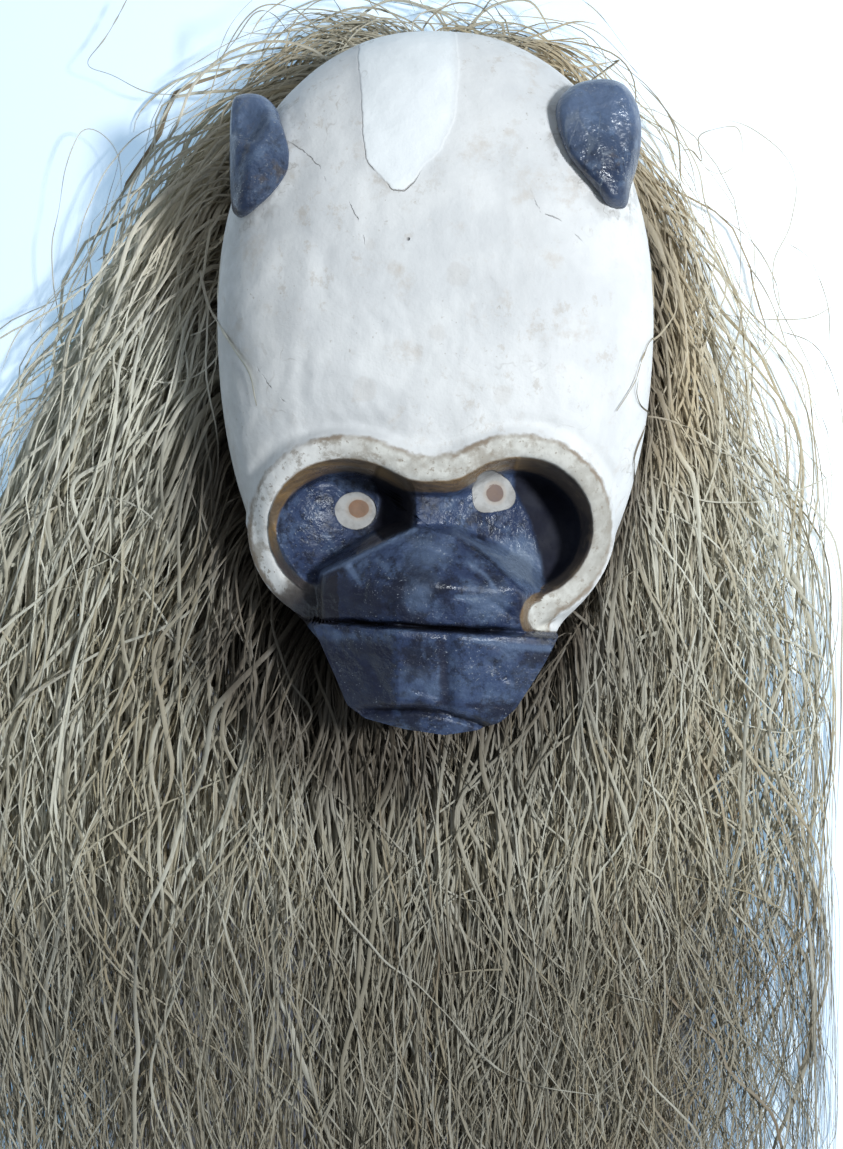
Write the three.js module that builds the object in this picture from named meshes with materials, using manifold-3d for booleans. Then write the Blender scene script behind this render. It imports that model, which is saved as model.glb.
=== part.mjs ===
// A carved wooden monkey mask with a hair of loose palm fibre, lying on its back rim with the face up.
// Millimetres. +X is the viewer's right, +Y the crown, +Z out of the face. The back rim is the plane z = 0.
// The mask is worked out in its own plan (x, y), centred across the forehead, and the whole part is then
// moved so that the origin is the middle of its footprint.
import * as THREE from "three";
import { mergeVertices } from "three/addons/utils/BufferGeometryUtils.js";
import Module from "manifold-3d";

// ---------- driving sizes ----------
const HEAD = { halfWidth: 94.6, up: 125, down: 154, midY: 25, power: 2.2 }; // the skull's outline at its widest
const EDGE_Z = 48; // height of that widest line above the back rim
const DOME_RISE = 74; // forehead above the widest line
const BACK_TAPER = 0.07; // how much the outline draws in from the widest line to the back rim
const BROW_DROP = 0.1; // slope by which the forehead falls back towards the brow
const LOBES = { left: [-37.5, -66, 38.5, 34.5], right: [34, -65.5, 37, 34.5], blend: 19, bridgeY: -41 }; // brow ring: x, y, half sizes
const BEAD = { high: 2.7, wide: 5.6, crease: 1.6, creaseAt: 9 };
const WALL = { top: -5, foot: -11 }; // inner wall of the ring, measured inwards from the bead's middle
const PLATE = { z: 111, bow: 32, halfWidth: 78, fall: 0.3 }; // front of the face before it is hollowed
// eye hollows: the deepest place, and how slowly the floor rises round it
const BOWL = { left: { at: [-38, -57, 71], slow: [54, 130, 80] }, right: { at: [48, -62, 68], fall: 0.55, slow: [30, 190] } };
const BANK = { x: -15, y: -66.5, slope: 3 }; // steep bank from the bridge along the left of the nose
const BRIDGE = { z: 95, y: -48, slope: 0.25 };
const MUZZLE = { z: 101, y: -66, slope: 0.62, top: 116.5, frontY: -89, frontSlope: 0.45, bow: 0.0048, left: 3.5, right: 2.1 };
const MUZZLE_PLAN = [[-8.9, -64.5], [-29, -74.3], [-47, -83.5], [-47.4, -105], [36.7, -109], [35.2, -93], [31.5, -87.8], [22, -80], [8, -68.5]];
const SLIT = { y: -105.8, slope: -0.0615, depth: 9, half: 1.8 };
const JAW = { z: 116, y: -110, slope: 0.42, left: 0.7, right: 0.25, groove: 2.2, side: 4 };
const JAW_PLAN = [[-52, -104], [-48, -113.2], [-41.6, -128], [-37.4, -138.5], [-30, -144.3], [-13.2, -148.5], [3.7, -151], [17.4, -149],
  [26.9, -145.3], [33.2, -139.6], [38.5, -131.1], [44.8, -120.6], [50.5, -109]];
const HOLLOW = { halfWidth: 78, up: 112, down: 128, midY: 22, power: 2.2, deep: 104, faceZ: 46, faceY: -80, faceSlope: 0.55,
  chinLean: 0.22, noseRise: 32, nose: [-4, -80, 26, 17] };
const EAR_GAP = 0.5;

// the fibre hair, as the mats that its bunches make where they lie: half widths left and right of the middle,
// the y of the crown, of the widest place and of the hem, and the thickness of the mats
const HAIR = { left: 214, right: 178, crownY: 180, midY: -146, hemY: -470, upperPower: 2, lowerPower: 4.2,
  thickAtHead: 38, thickAtHem: 12, crownThick: 16, gap: 2.4, chinGap: 5, splitGap: 0.35 };
const BUNCHES = { crown: 14, chin: 16, middle: [0, 15] }; // half angles of the crown and chin bunches, degrees
const ORIGIN_SHIFT = [18, 145]; // brings the middle of the footprint to the origin

// ---------- helpers ----------
const clamp = THREE.MathUtils.clamp, lerp = THREE.MathUtils.lerp, radians = THREE.MathUtils.degToRad;
const step = (a, b, x) => { const t = clamp((x - a) / (b - a), 0, 1); return t * t * (3 - 2 * t); };
const smin = (a, b, k) => { const h = Math.max(k - Math.abs(a - b), 0) / k; return Math.min(a, b) - (h * h * k) / 4; };
const smax = (a, b, k) => -smin(-a, -b, k);
const gauss = (x, w) => Math.exp(-((x / w) ** 2));

// signed distance to a plan polygon, negative inside
function planDistance(plan, x, y) {
  let d = Infinity, inside = false;
  for (let i = 0, j = plan.length - 1; i < plan.length; j = i++) {
    const [ax, ay] = plan[j], [bx, by] = plan[i];
    const ex = bx - ax, ey = by - ay, wx = x - ax, wy = y - ay;
    const t = clamp((wx * ex + wy * ey) / (ex * ex + ey * ey), 0, 1);
    d = Math.min(d, Math.hypot(wx - ex * t, wy - ey * t));
    if (ay > y !== by > y && x < ((bx - ax) * (y - ay)) / (by - ay) + ax) inside = !inside;
  }
  return inside ? -d : d;
}
function ellipseDistance([cx, cy, a, b], x, y) {
  const dx = x - cx, dy = y - cy, k0 = Math.hypot(dx / a, dy / b), k1 = Math.hypot(dx / (a * a), dy / (b * b));
  return k1 < 1e-9 ? -Math.min(a, b) : (k0 * (k0 - 1)) / k1;
}
const ovalRadius = (o, x, y) => {
  const dy = y - o.midY, b = dy > 0 ? o.up : o.down;
  return (Math.abs(x / o.halfWidth) ** o.power + Math.abs(dy / b) ** o.power) ** (1 / o.power);
};

// ---------- the carved front ----------
const slitY = (x) => SLIT.y + SLIT.slope * x;
const lipY = (x) => -139.6 - (x > -12 ? 0.0072 : 0.0042) * (x + 12) ** 2;
const ringDistance = (x, y) => smin(ellipseDistance(LOBES.left, x, y), ellipseDistance(LOBES.right, x, y), LOBES.blend);
const jawDistance = (x, y) => planDistance(JAW_PLAN, x, y);
const faceOutline = (x, y) => smin(ringDistance(x, y) - 5, jawDistance(x, y), 8);
// distance from the bead's middle line, run on across the bridge and along the slit under the muzzle
function openingDistance(x, y) {
  const middle = smax(smax(1.94 * (slitY(x) - y) - 6.8, Math.abs(x + 3) - 48, 4), y - LOBES.bridgeY, 4);
  return smin(ringDistance(x, y), middle, 6);
}
const dome = (x, y) =>
  EDGE_Z + DOME_RISE * Math.max(0, 1 - ovalRadius(HEAD, x, y) ** 2.6) ** (1 / 3.4) - BROW_DROP * Math.max(0, HEAD.midY - y);
const plate = (x, y) => PLATE.z - PLATE.bow * (x / PLATE.halfWidth) ** 2 - PLATE.fall * Math.max(0, -60 - y);
function bowlLeft(x, y) {
  const { at: [cx, cy, z], slow: [toLeft, toRight, along] } = BOWL.left;
  return z + (x - cx) ** 2 / (x < cx ? toLeft : toRight) + (y - cy) ** 2 / along;
}
// the right one falls straight from the nose to its deepest place
function bowlRight(x, y) {
  const { at: [cx, cy, z], fall, slow: [toRight, along] } = BOWL.right;
  return z + fall * smax(cx - x, 0, 10) + Math.max(0, x - cx) ** 2 / toRight + (y - cy) ** 2 / along;
}
const bank = (x, y) => BANK.slope * smax(smax(x - BANK.x, 0.87 * (BANK.y - y) + 0.49 * (x - BANK.x), 3), 0, 2.5);

function muzzleTop(x, y) {
  const bow = MUZZLE.bow * Math.max(0, x + 4) ** 2 + 0.5 * smax(-17 - x, 0, 5);
  const top = MUZZLE.z + MUZZLE.slope * (MUZZLE.y - y) + 2.5 * gauss(x + 2, 9);
  const z = smin(top, MUZZLE.top - MUZZLE.frontSlope * Math.max(0, MUZZLE.frontY - y), 2) - bow;
  return z - lerp(MUZZLE.left, MUZZLE.right, step(-12, 4, x)) * Math.max(0, planDistance(MUZZLE_PLAN, x, y));
}
function jawTop(x, y) {
  let z = JAW.z - JAW.slope * (JAW.y - y) - JAW.left * Math.max(0, -16 - x) - JAW.right * Math.max(0, x - 8) - JAW.groove * gauss(x - 4, 3.5);
  z -= 0.5 * Math.max(0, y - (slitY(x) - 4));
  const lip = 100 - 0.6 * (lipY(x) - y) - 0.012 * (x + 3) ** 2;
  if (y < lipY(x)) z = Math.min(z, lip);
  z -= 4.5 * gauss(y - lipY(x), 1.8) * step(-38, -26, x) * step(34, 24, x);
  return z - JAW.side * Math.max(0, jawDistance(x, y));
}
function frontHeight(x, y) {
  const d = openingDistance(x, y);
  let z = smax(dome(x, y), plate(x, y) - 6 * Math.max(0, faceOutline(x, y)), 6);
  z += BEAD.high * Math.exp(-((d / BEAD.wide) ** 4)) * step(-106, -96, y) - BEAD.crease * gauss(d - BEAD.creaseAt, 3.2) * step(-75, -45, y);
  let floor = smin(bowlLeft(x, y) + bank(x, y), bowlRight(x, y), 2);
  floor = smin(floor, BRIDGE.z + BRIDGE.slope * (BRIDGE.y - y), 3);
  z = lerp(z, Math.min(z, floor), step(WALL.top, WALL.foot, d));
  z = smax(z, muzzleTop(x, y), 2);
  const below = step(0, 3, slitY(x) - y);
  if (below > 0) z = smax(z - 40 * below * step(8, -6, jawDistance(x, y)), jawTop(x, y) - 8 * (1 - below), 1.5);
  return z - SLIT.depth * gauss(y - slitY(x), SLIT.half) * step(-54, -42, x) * step(46, 32, x);
}
// how far a point is outside the side walls
function sideDistance(x, y, z) {
  const shrink = 1 - BACK_TAPER * Math.max(0, 1 - z / EDGE_Z) ** 1.5;
  const head = (ovalRadius(HEAD, x, y) / shrink - 1) * 96;
  const draw = lerp(0.1, 0.32, step(-100, -140, y));
  return Math.min(head, faceOutline(x, y) + draw * Math.max(0, 85 - z));
}
const outside = (x, y, z) => Math.max(z - frontHeight(x, y), sideDistance(x, y, z));

// ---------- the hollow behind the face ----------
function outsideHollow(x, y, z) {
  const back = y + HOLLOW.chinLean * z * step(-20, -80, y), r = ovalRadius(HOLLOW, x, back);
  if (r >= 1) return 1;
  const [noseX, noseY, noseWide, noseLong] = HOLLOW.nose;
  const roof = HOLLOW.faceZ + HOLLOW.faceSlope * (back - HOLLOW.faceY) + HOLLOW.noseRise * gauss(x - noseX, noseWide) * gauss(back - noseY, noseLong);
  return z - smin(HOLLOW.deep * (1 - r ** 2.4) ** (1 / 2.2), Math.max(0, roof) + 0.0001, 12);
}

// ---------- surfaces found along rays from a point behind the face ----------
const BEHIND = [0, -66, -60];
function crossing(at, far, stride) {
  // the outermost place where the field turns negative, walking inwards
  let r = far;
  while (r > 1 && at(r) > 0) r -= stride;
  let a = r, b = r + stride;
  for (let i = 0; i < 22; i++) { const m = (a + b) / 2; if (at(m) > 0) b = m; else a = m; }
  return a;
}
const alongRay = (field, d) => crossing((s) => field(BEHIND[0] + d[0] * s, BEHIND[1] + d[1] * s, BEHIND[2] + d[2] * s), 330, 2);
const rimRadius = (field, phi) =>
  crossing((s) => field(BEHIND[0] + Math.cos(phi) * s, BEHIND[1] + Math.sin(phi) * s, 0.0005), 230, 1);
const rayDirection = (phi, psi) => [Math.sin(psi) * Math.cos(phi), Math.sin(psi) * Math.sin(phi), Math.cos(psi)];

// lines of the carving that the mesh follows: the wall, the bead and its crease, both lips of the slit, then
// the line of the mouth and the edge where the front turns into the side
const LINES = [-14, -11, -8.2, -5.2, -2.6, 1, 5, 9.5];
const RINGS = { centre: 12, halved: 7, toMouth: 8, toEdge: 3, toRim: 5 };
const AROUND = 90;
const spread = (from, to, n, ease = (t) => t) => Array.from({ length: n }, (_, j) => lerp(from, to, ease((j + 1) / n)));
// plan distances from the middle of the face, along one direction, of the rings on the front
function frontRings(c, s) {
  const at = (f, r) => f(BEHIND[0] + c * r, BEHIND[1] + s * r);
  let r = 230;
  while (at((x, y) => sideDistance(x, y, Math.max(EDGE_Z, frontHeight(x, y))), r) > 0) r -= 0.2;
  const edge = r - 0.2, lines = [];
  r = 0;
  for (const line of LINES) {
    while (r < 130 && at(openingDistance, r) < line) r += 0.1;
    lines.push(Math.min(Math.max(r, lines.length ? lines[lines.length - 1] + 0.6 : 0), edge - 0.7 * (LINES.length + 3 - lines.length)));
  }
  const last = lines[lines.length - 1];
  while (r < 230 && !(s < 0 && at((x, y) => y - lipY(x), r) < 0)) r += 0.2;
  const mouth = clamp(r, lerp(last, edge, 0.5), lerp(last, edge, 0.86));
  return [...spread(0, lines[0], RINGS.centre + 1).slice(0, -1), ...lines, ...spread(last, mouth, RINGS.toMouth),
    ...spread(mouth, edge, RINGS.toEdge, (t) => Math.sin((t * Math.PI) / 2))];
}
// one stray height between two that agree is brought to the nearer of them, so the carved edges run evenly
const evened = (list) => list.map((z, i) => {
  const a = list[(i + list.length - 1) % list.length], b = list[(i + 1) % list.length];
  return Math.max(Math.min(a, b), Math.min(Math.max(a, b), z));
});
function outerRings(grow) {
  const phis = Array.from({ length: AROUND }, (_, i) => (2 * Math.PI * i) / AROUND);
  const plans = phis.map((phi) => frontRings(Math.cos(phi), Math.sin(phi)));
  const rings = plans[0].map((_, j) => {
    const every = j < RINGS.halved ? 2 : 1, used = phis.filter((_, i) => i % every === 0);
    const points = used.map((phi, i) => {
      const r = plans[i * every][j], x = BEHIND[0] + Math.cos(phi) * r, y = BEHIND[1] + Math.sin(phi) * r;
      return [x, y, frontHeight(x, y)];
    });
    const heights = j < RINGS.centre ? evened(points.map((p) => p[2])) : points.map((p) => p[2]);
    return points.map(([x, y], i) => {
      const d = [x - BEHIND[0], y - BEHIND[1], heights[i] - BEHIND[2]], size = Math.hypot(...d);
      return BEHIND.map((v, k) => v + d[k] * (1 + grow / size));
    });
  });
  for (let j = 1; j <= RINGS.toRim; j++)
    rings.push(phis.map((phi, i) => {
      const r = plans[i][plans[i].length - 1], x = BEHIND[0] + Math.cos(phi) * r, y = BEHIND[1] + Math.sin(phi) * r;
      const rim = rimRadius(outside, phi), most = Math.atan2(rim, -BEHIND[2]);
      if (j === RINGS.toRim) return [BEHIND[0] + Math.cos(phi) * (rim + grow), BEHIND[1] + Math.sin(phi) * (rim + grow), 0];
      const d = rayDirection(phi, lerp(Math.min(Math.atan2(r, frontHeight(x, y) - BEHIND[2]), most - 0.05), most, j / RINGS.toRim));
      const reached = alongRay(outside, d) + grow;
      return BEHIND.map((v, k) => v + d[k] * reached);
    }));
  return rings;
}
const HOLLOW_AROUND = AROUND / 2, HOLLOW_RINGS = 10;
function hollowRings() {
  const rings = [];
  for (let j = 1; j <= HOLLOW_RINGS; j++) {
    rings.push(Array.from({ length: HOLLOW_AROUND }, (_, i) => {
      const phi = (2 * Math.PI * i) / HOLLOW_AROUND, rim = rimRadius(outsideHollow, phi);
      if (j === HOLLOW_RINGS) return [BEHIND[0] + Math.cos(phi) * rim, BEHIND[1] + Math.sin(phi) * rim, 0];
      const d = rayDirection(phi, Math.atan2(rim, -BEHIND[2]) * (j / HOLLOW_RINGS)), r = alongRay(outsideHollow, d);
      return BEHIND.map((c, k) => c + d[k] * r);
    }));
  }
  return rings;
}
// a dome of rings round a pole; a ring may have twice the points of the ring inside it
function addDome(rings, pole, position, index, flip) {
  const put = (a, b, c) => (flip ? index.push(a, c, b) : index.push(a, b, c));
  const starts = [];
  const centre = position.length / 3;
  position.push(...pole);
  for (const ring of rings) { starts.push(position.length / 3); for (const p of ring) position.push(...p); }
  const id = (j, i) => starts[j] + (i + rings[j].length * 2) % rings[j].length;
  for (let i = 0; i < rings[0].length; i++) put(centre, id(0, i), id(0, i + 1));
  for (let j = 0; j + 1 < rings.length; j++) {
    const twice = rings[j + 1].length === 2 * rings[j].length;
    for (let i = 0; i < rings[j].length; i++) {
      if (twice) {
        put(id(j, i), id(j + 1, 2 * i), id(j + 1, 2 * i + 1));
        put(id(j, i), id(j + 1, 2 * i + 1), id(j, i + 1));
        put(id(j, i + 1), id(j + 1, 2 * i + 1), id(j + 1, 2 * i + 2));
      } else {
        put(id(j, i), id(j + 1, i), id(j + 1, i + 1));
        put(id(j, i), id(j + 1, i + 1), id(j, i + 1));
      }
    }
  }
  return (i) => id(rings.length - 1, i);
}
function geometryOf(position, index) {
  const g = new THREE.BufferGeometry();
  g.setAttribute("position", new THREE.Float32BufferAttribute(position, 3));
  g.setIndex(index);
  g.computeVertexNormals();
  return g;
}
const poleOf = (field, grow) => [BEHIND[0], BEHIND[1], BEHIND[2] + alongRay(field, [0, 0, 1]) + grow];
function maskGeometry() {
  const position = [], index = [];
  const outer = addDome(outerRings(0), poleOf(outside, 0), position, index, false);
  const inner = addDome(hollowRings(), poleOf(outsideHollow, 0), position, index, true);
  for (let i = 0; i < HOLLOW_AROUND; i++) {
    const a = inner(i), b = inner(i + 1), o0 = outer(2 * i), o1 = outer(2 * i + 1), o2 = outer(2 * i + 2);
    index.push(a, o1, o0, a, b, o1, b, o2, o1);
  }
  return geometryOf(position, index);
}
// the same outer skin, grown a little and filled, to trim the ears to the forehead
function maskBlockGeometry() {
  const position = [], index = [];
  const outer = addDome(outerRings(EAR_GAP), poleOf(outside, EAR_GAP), position, index, false);
  const c = position.length / 3;
  position.push(BEHIND[0], BEHIND[1], 0);
  for (let i = 0; i < AROUND; i++) index.push(c, outer(i + 1), outer(i));
  return geometryOf(position, index);
}

// ---------- solids ----------
const wasm = await Module();
wasm.setup();
function solidOf(geometry) {
  const g = geometry.clone();
  for (const name of Object.keys(g.attributes)) if (name !== "position") g.deleteAttribute(name);
  const merged = mergeVertices(g, 1e-4);
  return new wasm.Manifold(new wasm.Mesh({
    numProp: 3, vertProperties: new Float32Array(merged.attributes.position.array), triVerts: new Uint32Array(merged.index.array),
  }));
}
function geometryFromSolid(solid) {
  const m = solid.getMesh(), n = m.numProp, p = [];
  for (let i = 0; i < m.numVert; i++) p.push(m.vertProperties[i * n], m.vertProperties[i * n + 1], m.vertProperties[i * n + 2]);
  return geometryOf(p, Array.from(m.triVerts));
}

// An ear is a pear-shaped knob, broad and rounded above and narrower at the foot, sunk into the forehead.
const EARS = {
  ear_right: { at: [66.5, 93.5, 103], halfWidth: 18.4, halfHeight: 27.8, halfDepth: 15.5, top: 2.5, foot: 0.75, footPower: 1.5, footShift: 7,
    pitch: -0.16, turn: 0.24 },
  ear_left: { at: [-73, 89.5, 94], halfWidth: 14.5, halfHeight: 28, halfDepth: 17, top: 2.3, foot: 0.55, footPower: 3.2, footShift: 0,
    pitch: -0.12, turn: -0.32, dish: 4.5, dishY: 8, flatX: -9.5 },
};
function earGeometry(e) {
  const g = new THREE.SphereGeometry(1, 26, 16);
  const p = g.attributes.position, v = new THREE.Vector3();
  for (let i = 0; i < p.count; i++) {
    v.fromBufferAttribute(p, i);
    const t = (Math.asin(clamp(v.y, -1, 1)) / Math.PI) * 2, around = Math.hypot(v.x, v.z) || 1;
    const wide = t > 0 ? (1 - t ** e.top) ** (1 / e.top) : (1 - e.foot * (-t) ** e.footPower) * (1 - (-t) ** 14) ** 0.5;
    let x = (v.x / around) * wide * e.halfWidth + e.footShift * Math.min(t, 0) ** 2, y = t * e.halfHeight;
    let z = (v.z / around) * wide * e.halfDepth;
    if (e.dish && z > 0) z -= e.dish * gauss(x + e.halfWidth * 0.35, e.halfWidth * 0.55) * gauss(y - e.dishY, e.halfHeight * 0.3) * step(0, 8, z);
    if (e.flatX !== undefined) x = Math.max(x, e.flatX);
    p.setXYZ(i, x, y, z);
  }
  g.rotateX(e.pitch);
  g.rotateY(e.turn);
  g.translate(...e.at);
  return g;
}

// ---------- the hair ----------
function hairEdge(x, y) {
  const half = x < 0 ? HAIR.left : HAIR.right, top = y > HAIR.midY;
  const tall = top ? HAIR.crownY - HAIR.midY : HAIR.midY - HAIR.hemY, n = top ? HAIR.upperPower : HAIR.lowerPower;
  return Math.abs(x / half) ** n + Math.abs((y - HAIR.midY) / tall) ** n - 1;
}
// A bunch lies flat on z = 0 between two rays from the middle of the head: thick at the head, thin at its ends.
function bunchGeometry(from, to, across, along, thickAtHead) {
  const position = [], index = [], [cx, cy] = BUNCHES.middle;
  for (const up of [0, 1])
    for (let i = 0; i <= across; i++) {
      const phi = radians(lerp(from, to, i / across)), dir = [Math.cos(phi), Math.sin(phi)];
      const ribs = 1 - 0.1 * (i % 2);
      const r0 = crossing((r) => sideDistance(cx + dir[0] * r, cy + dir[1] * r, up * thickAtHead * ribs), 230, 2) + lerp(HAIR.gap, HAIR.chinGap, step(-0.7, -0.93, dir[1]));
      const r1 = crossing((r) => hairEdge(cx + dir[0] * r, cy + dir[1] * r), 560, 2);
      const long = clamp((r1 - r0) / 260, 0, 1), thickAtEnd = lerp(thickAtHead * 0.55, HAIR.thickAtHem, long);
      for (let j = 0; j <= along; j++) {
        const t = j / along, r = lerp(r0, r1, t);
        position.push(cx + dir[0] * r, cy + dir[1] * r, up ? lerp(thickAtHead, thickAtEnd, t ** 0.8) * ribs : 0);
      }
    }
  const n = along + 1, layer = (across + 1) * n, id = (up, i, j) => up * layer + i * n + j;
  const quad = (a, b, c, d) => index.push(a, c, b, a, d, c);
  for (let i = 0; i < across; i++)
    for (let j = 0; j < along; j++) {
      quad(id(1, i, j), id(1, i + 1, j), id(1, i + 1, j + 1), id(1, i, j + 1));
      quad(id(0, i, j), id(0, i, j + 1), id(0, i + 1, j + 1), id(0, i + 1, j));
    }
  for (let i = 0; i < across; i++) {
    quad(id(0, i, 0), id(0, i + 1, 0), id(1, i + 1, 0), id(1, i, 0));
    quad(id(0, i + 1, along), id(0, i, along), id(1, i, along), id(1, i + 1, along));
  }
  for (let j = 0; j < along; j++) {
    quad(id(0, 0, j + 1), id(0, 0, j), id(1, 0, j), id(1, 0, j + 1));
    quad(id(0, across, j), id(0, across, j + 1), id(1, across, j + 1), id(1, across, j));
  }
  return geometryOf(position, index);
}

// ---------- the scene ----------
const whitePaint = new THREE.MeshStandardMaterial({ color: 0xdfe2e2, roughness: 0.75, metalness: 0 });
const bluePaint = new THREE.MeshStandardMaterial({ color: 0x36425c, roughness: 0.45, metalness: 0 });
const fibre = new THREE.MeshStandardMaterial({ color: 0xb3aa94, roughness: 0.85, metalness: 0 });

const part = new THREE.Group();
part.position.set(ORIGIN_SHIFT[0], ORIGIN_SHIFT[1], 0);
function add(name, geometry, material) {
  const mesh = new THREE.Mesh(geometry, material);
  mesh.name = name;
  part.add(mesh);
}
add("carved_mask", maskGeometry(), whitePaint);
const block = solidOf(maskBlockGeometry());
for (const [name, ear] of Object.entries(EARS)) {
  const cut = solidOf(earGeometry(ear)).subtract(block);
  const pieces = cut.decompose().sort((a, b) => b.volume() - a.volume());
  add(name, geometryFromSolid(pieces[0]), bluePaint);
}
const { crown, chin } = BUNCHES, apart = HAIR.splitGap;
add("fringe_crown", bunchGeometry(90 - crown + apart, 90 + crown - apart, 6, 2, HAIR.crownThick), fibre);
add("fringe_left", bunchGeometry(90 + crown, 270 - chin, 22, 6, HAIR.thickAtHead), fibre);
add("fringe_beard", bunchGeometry(270 - chin + apart, 270 + chin - apart, 14, 6, HAIR.thickAtHead), fibre);
add("fringe_right", bunchGeometry(270 + chin, 450 - crown, 22, 6, HAIR.thickAtHead), fibre);

export default part;
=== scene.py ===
"""A carved wooden monkey mask with a mane of loose palm fibre, lying on its back rim with the face up."""
import math
import bpy
import numpy as np
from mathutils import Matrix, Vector


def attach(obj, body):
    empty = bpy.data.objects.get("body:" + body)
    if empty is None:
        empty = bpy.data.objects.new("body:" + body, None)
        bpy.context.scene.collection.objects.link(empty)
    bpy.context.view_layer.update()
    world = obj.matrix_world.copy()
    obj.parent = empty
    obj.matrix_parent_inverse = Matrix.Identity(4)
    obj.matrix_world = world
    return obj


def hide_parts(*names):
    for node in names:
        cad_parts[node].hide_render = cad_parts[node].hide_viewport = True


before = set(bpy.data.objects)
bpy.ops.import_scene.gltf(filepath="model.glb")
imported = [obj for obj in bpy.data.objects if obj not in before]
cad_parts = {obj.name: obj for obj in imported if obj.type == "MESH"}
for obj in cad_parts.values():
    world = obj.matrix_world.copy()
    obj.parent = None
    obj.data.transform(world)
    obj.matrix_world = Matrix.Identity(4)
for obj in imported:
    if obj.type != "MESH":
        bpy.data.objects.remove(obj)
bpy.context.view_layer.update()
SHIFT = np.array([18.0, 145.0, 0.0])  # from the mask's own plan, in millimetres, to the part's frame


# ---------------------------------------------------------------- camera, light, floor
def area_light(name, direction, distance, size, watts, colour, target=(0.0, 0.05, 0.04)):
    data = bpy.data.lights.new(name, "AREA")
    data.shape, data.size, data.energy, data.color = "DISK", size, watts, colour
    lamp = bpy.data.objects.new(name, data)
    bpy.context.scene.collection.objects.link(lamp)
    d = np.array(direction, float)
    d /= np.linalg.norm(d)
    lamp.location = np.array(target) + d * distance
    lamp.rotation_euler = Vector(d).to_track_quat("Z", "Y").to_euler()
    return lamp


camera_data = bpy.data.cameras.new("camera")
camera_data.sensor_width, camera_data.sensor_fit, camera_data.lens = 36.0, "AUTO", 1693 * 36 / 1149
camera_data.clip_start, camera_data.clip_end = 0.05, 20
camera = bpy.data.objects.new("camera", camera_data)
camera.location = (0.012, 0.061, 0.8)
bpy.context.scene.collection.objects.link(camera)
bpy.context.scene.camera = camera

area_light("key", (0.54, 0.04, 0.84), 1.5, 0.18, 21, (0.89, 0.945, 0.99))
area_light("fill", (-0.15, 0.5, 0.85), 1.9, 1.0, 3.0, (0.82, 0.92, 1.0))
world = bpy.data.worlds.new("studio")
bpy.context.scene.world = world
world.use_nodes = True
world.node_tree.nodes["Background"].inputs["Color"].default_value = (0.76, 0.88, 1.0, 1)
world.node_tree.nodes["Background"].inputs["Strength"].default_value = 0.18
bpy.context.scene.view_settings.view_transform = "Standard"


# ---------------------------------------------------------------- small tools
def step(a, b, x):
    t = np.clip((x - a) / (b - a), 0, 1)
    return t * t * (3 - 2 * t)


def smin(a, b, k):
    h = np.maximum(k - np.abs(a - b), 0) / k
    return np.minimum(a, b) - h * h * k / 4


def smax(a, b, k):
    return -smin(-a, -b, k)


def gauss(x, w):
    return np.exp(-((x / w) ** 2))


def lerp(a, b, t):
    return a + (b - a) * t


def hashed(ix, iy, seed):
    n = (ix * 374761393 + iy * 668265263 + seed * 974634777) & 0xFFFFFFFF
    n = ((n ^ (n >> 13)) * 1274126177) & 0xFFFFFFFF
    return ((n ^ (n >> 16)) & 0xFFFF) / 65536.0


def noise2(x, y, seed):
    """Smooth gradient noise, about -0.7 to 0.7."""
    ix, iy = np.floor(x).astype(np.int64), np.floor(y).astype(np.int64)
    fx, fy = x - ix, y - iy
    ux, uy = fx * fx * fx * (fx * (fx * 6 - 15) + 10), fy * fy * fy * (fy * (fy * 6 - 15) + 10)
    def corner(dx, dy):
        a = hashed(ix + dx, iy + dy, seed) * 2 * math.pi
        return np.cos(a) * (fx - dx) + np.sin(a) * (fy - dy)
    return lerp(lerp(corner(0, 0), corner(1, 0), ux), lerp(corner(0, 1), corner(1, 1), ux), uy)


def plan_distance(plan, x, y):
    """Signed distance to a plan polygon, negative inside."""
    plan = np.asarray(plan, float)
    best = np.full(np.shape(x), 1e9)
    inside = np.zeros(np.shape(x), bool)
    for i in range(len(plan)):
        ax, ay = plan[i - 1]
        bx, by = plan[i]
        ex, ey = bx - ax, by - ay
        t = np.clip(((x - ax) * ex + (y - ay) * ey) / (ex * ex + ey * ey), 0, 1)
        best = np.minimum(best, np.hypot(x - ax - ex * t, y - ay - ey * t))
        if ay != by:
            inside ^= ((ay > y) != (by > y)) & (x < (bx - ax) * (y - ay) / (by - ay) + ax)
    return np.where(inside, -best, best)


def line_offset(line, x, y):
    """Signed offset from an open line, and where along it, from 0 to 1, the nearest point lies."""
    best = np.full(np.shape(x), 1e9)
    side = np.ones(np.shape(x))
    along = np.zeros(np.shape(x))
    for i in range(len(line) - 1):
        (ax, ay), (bx, by) = line[i], line[i + 1]
        ex, ey = bx - ax, by - ay
        t = np.clip(((x - ax) * ex + (y - ay) * ey) / (ex * ex + ey * ey), 0, 1)
        d = np.hypot(x - ax - ex * t, y - ay - ey * t)
        closer = d < best
        best = np.where(closer, d, best)
        side = np.where(closer, np.sign(ex * (y - ay) - ey * (x - ax)), side)
        along = np.where(closer, i + t, along)
    return best * side, along / (len(line) - 1)


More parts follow.
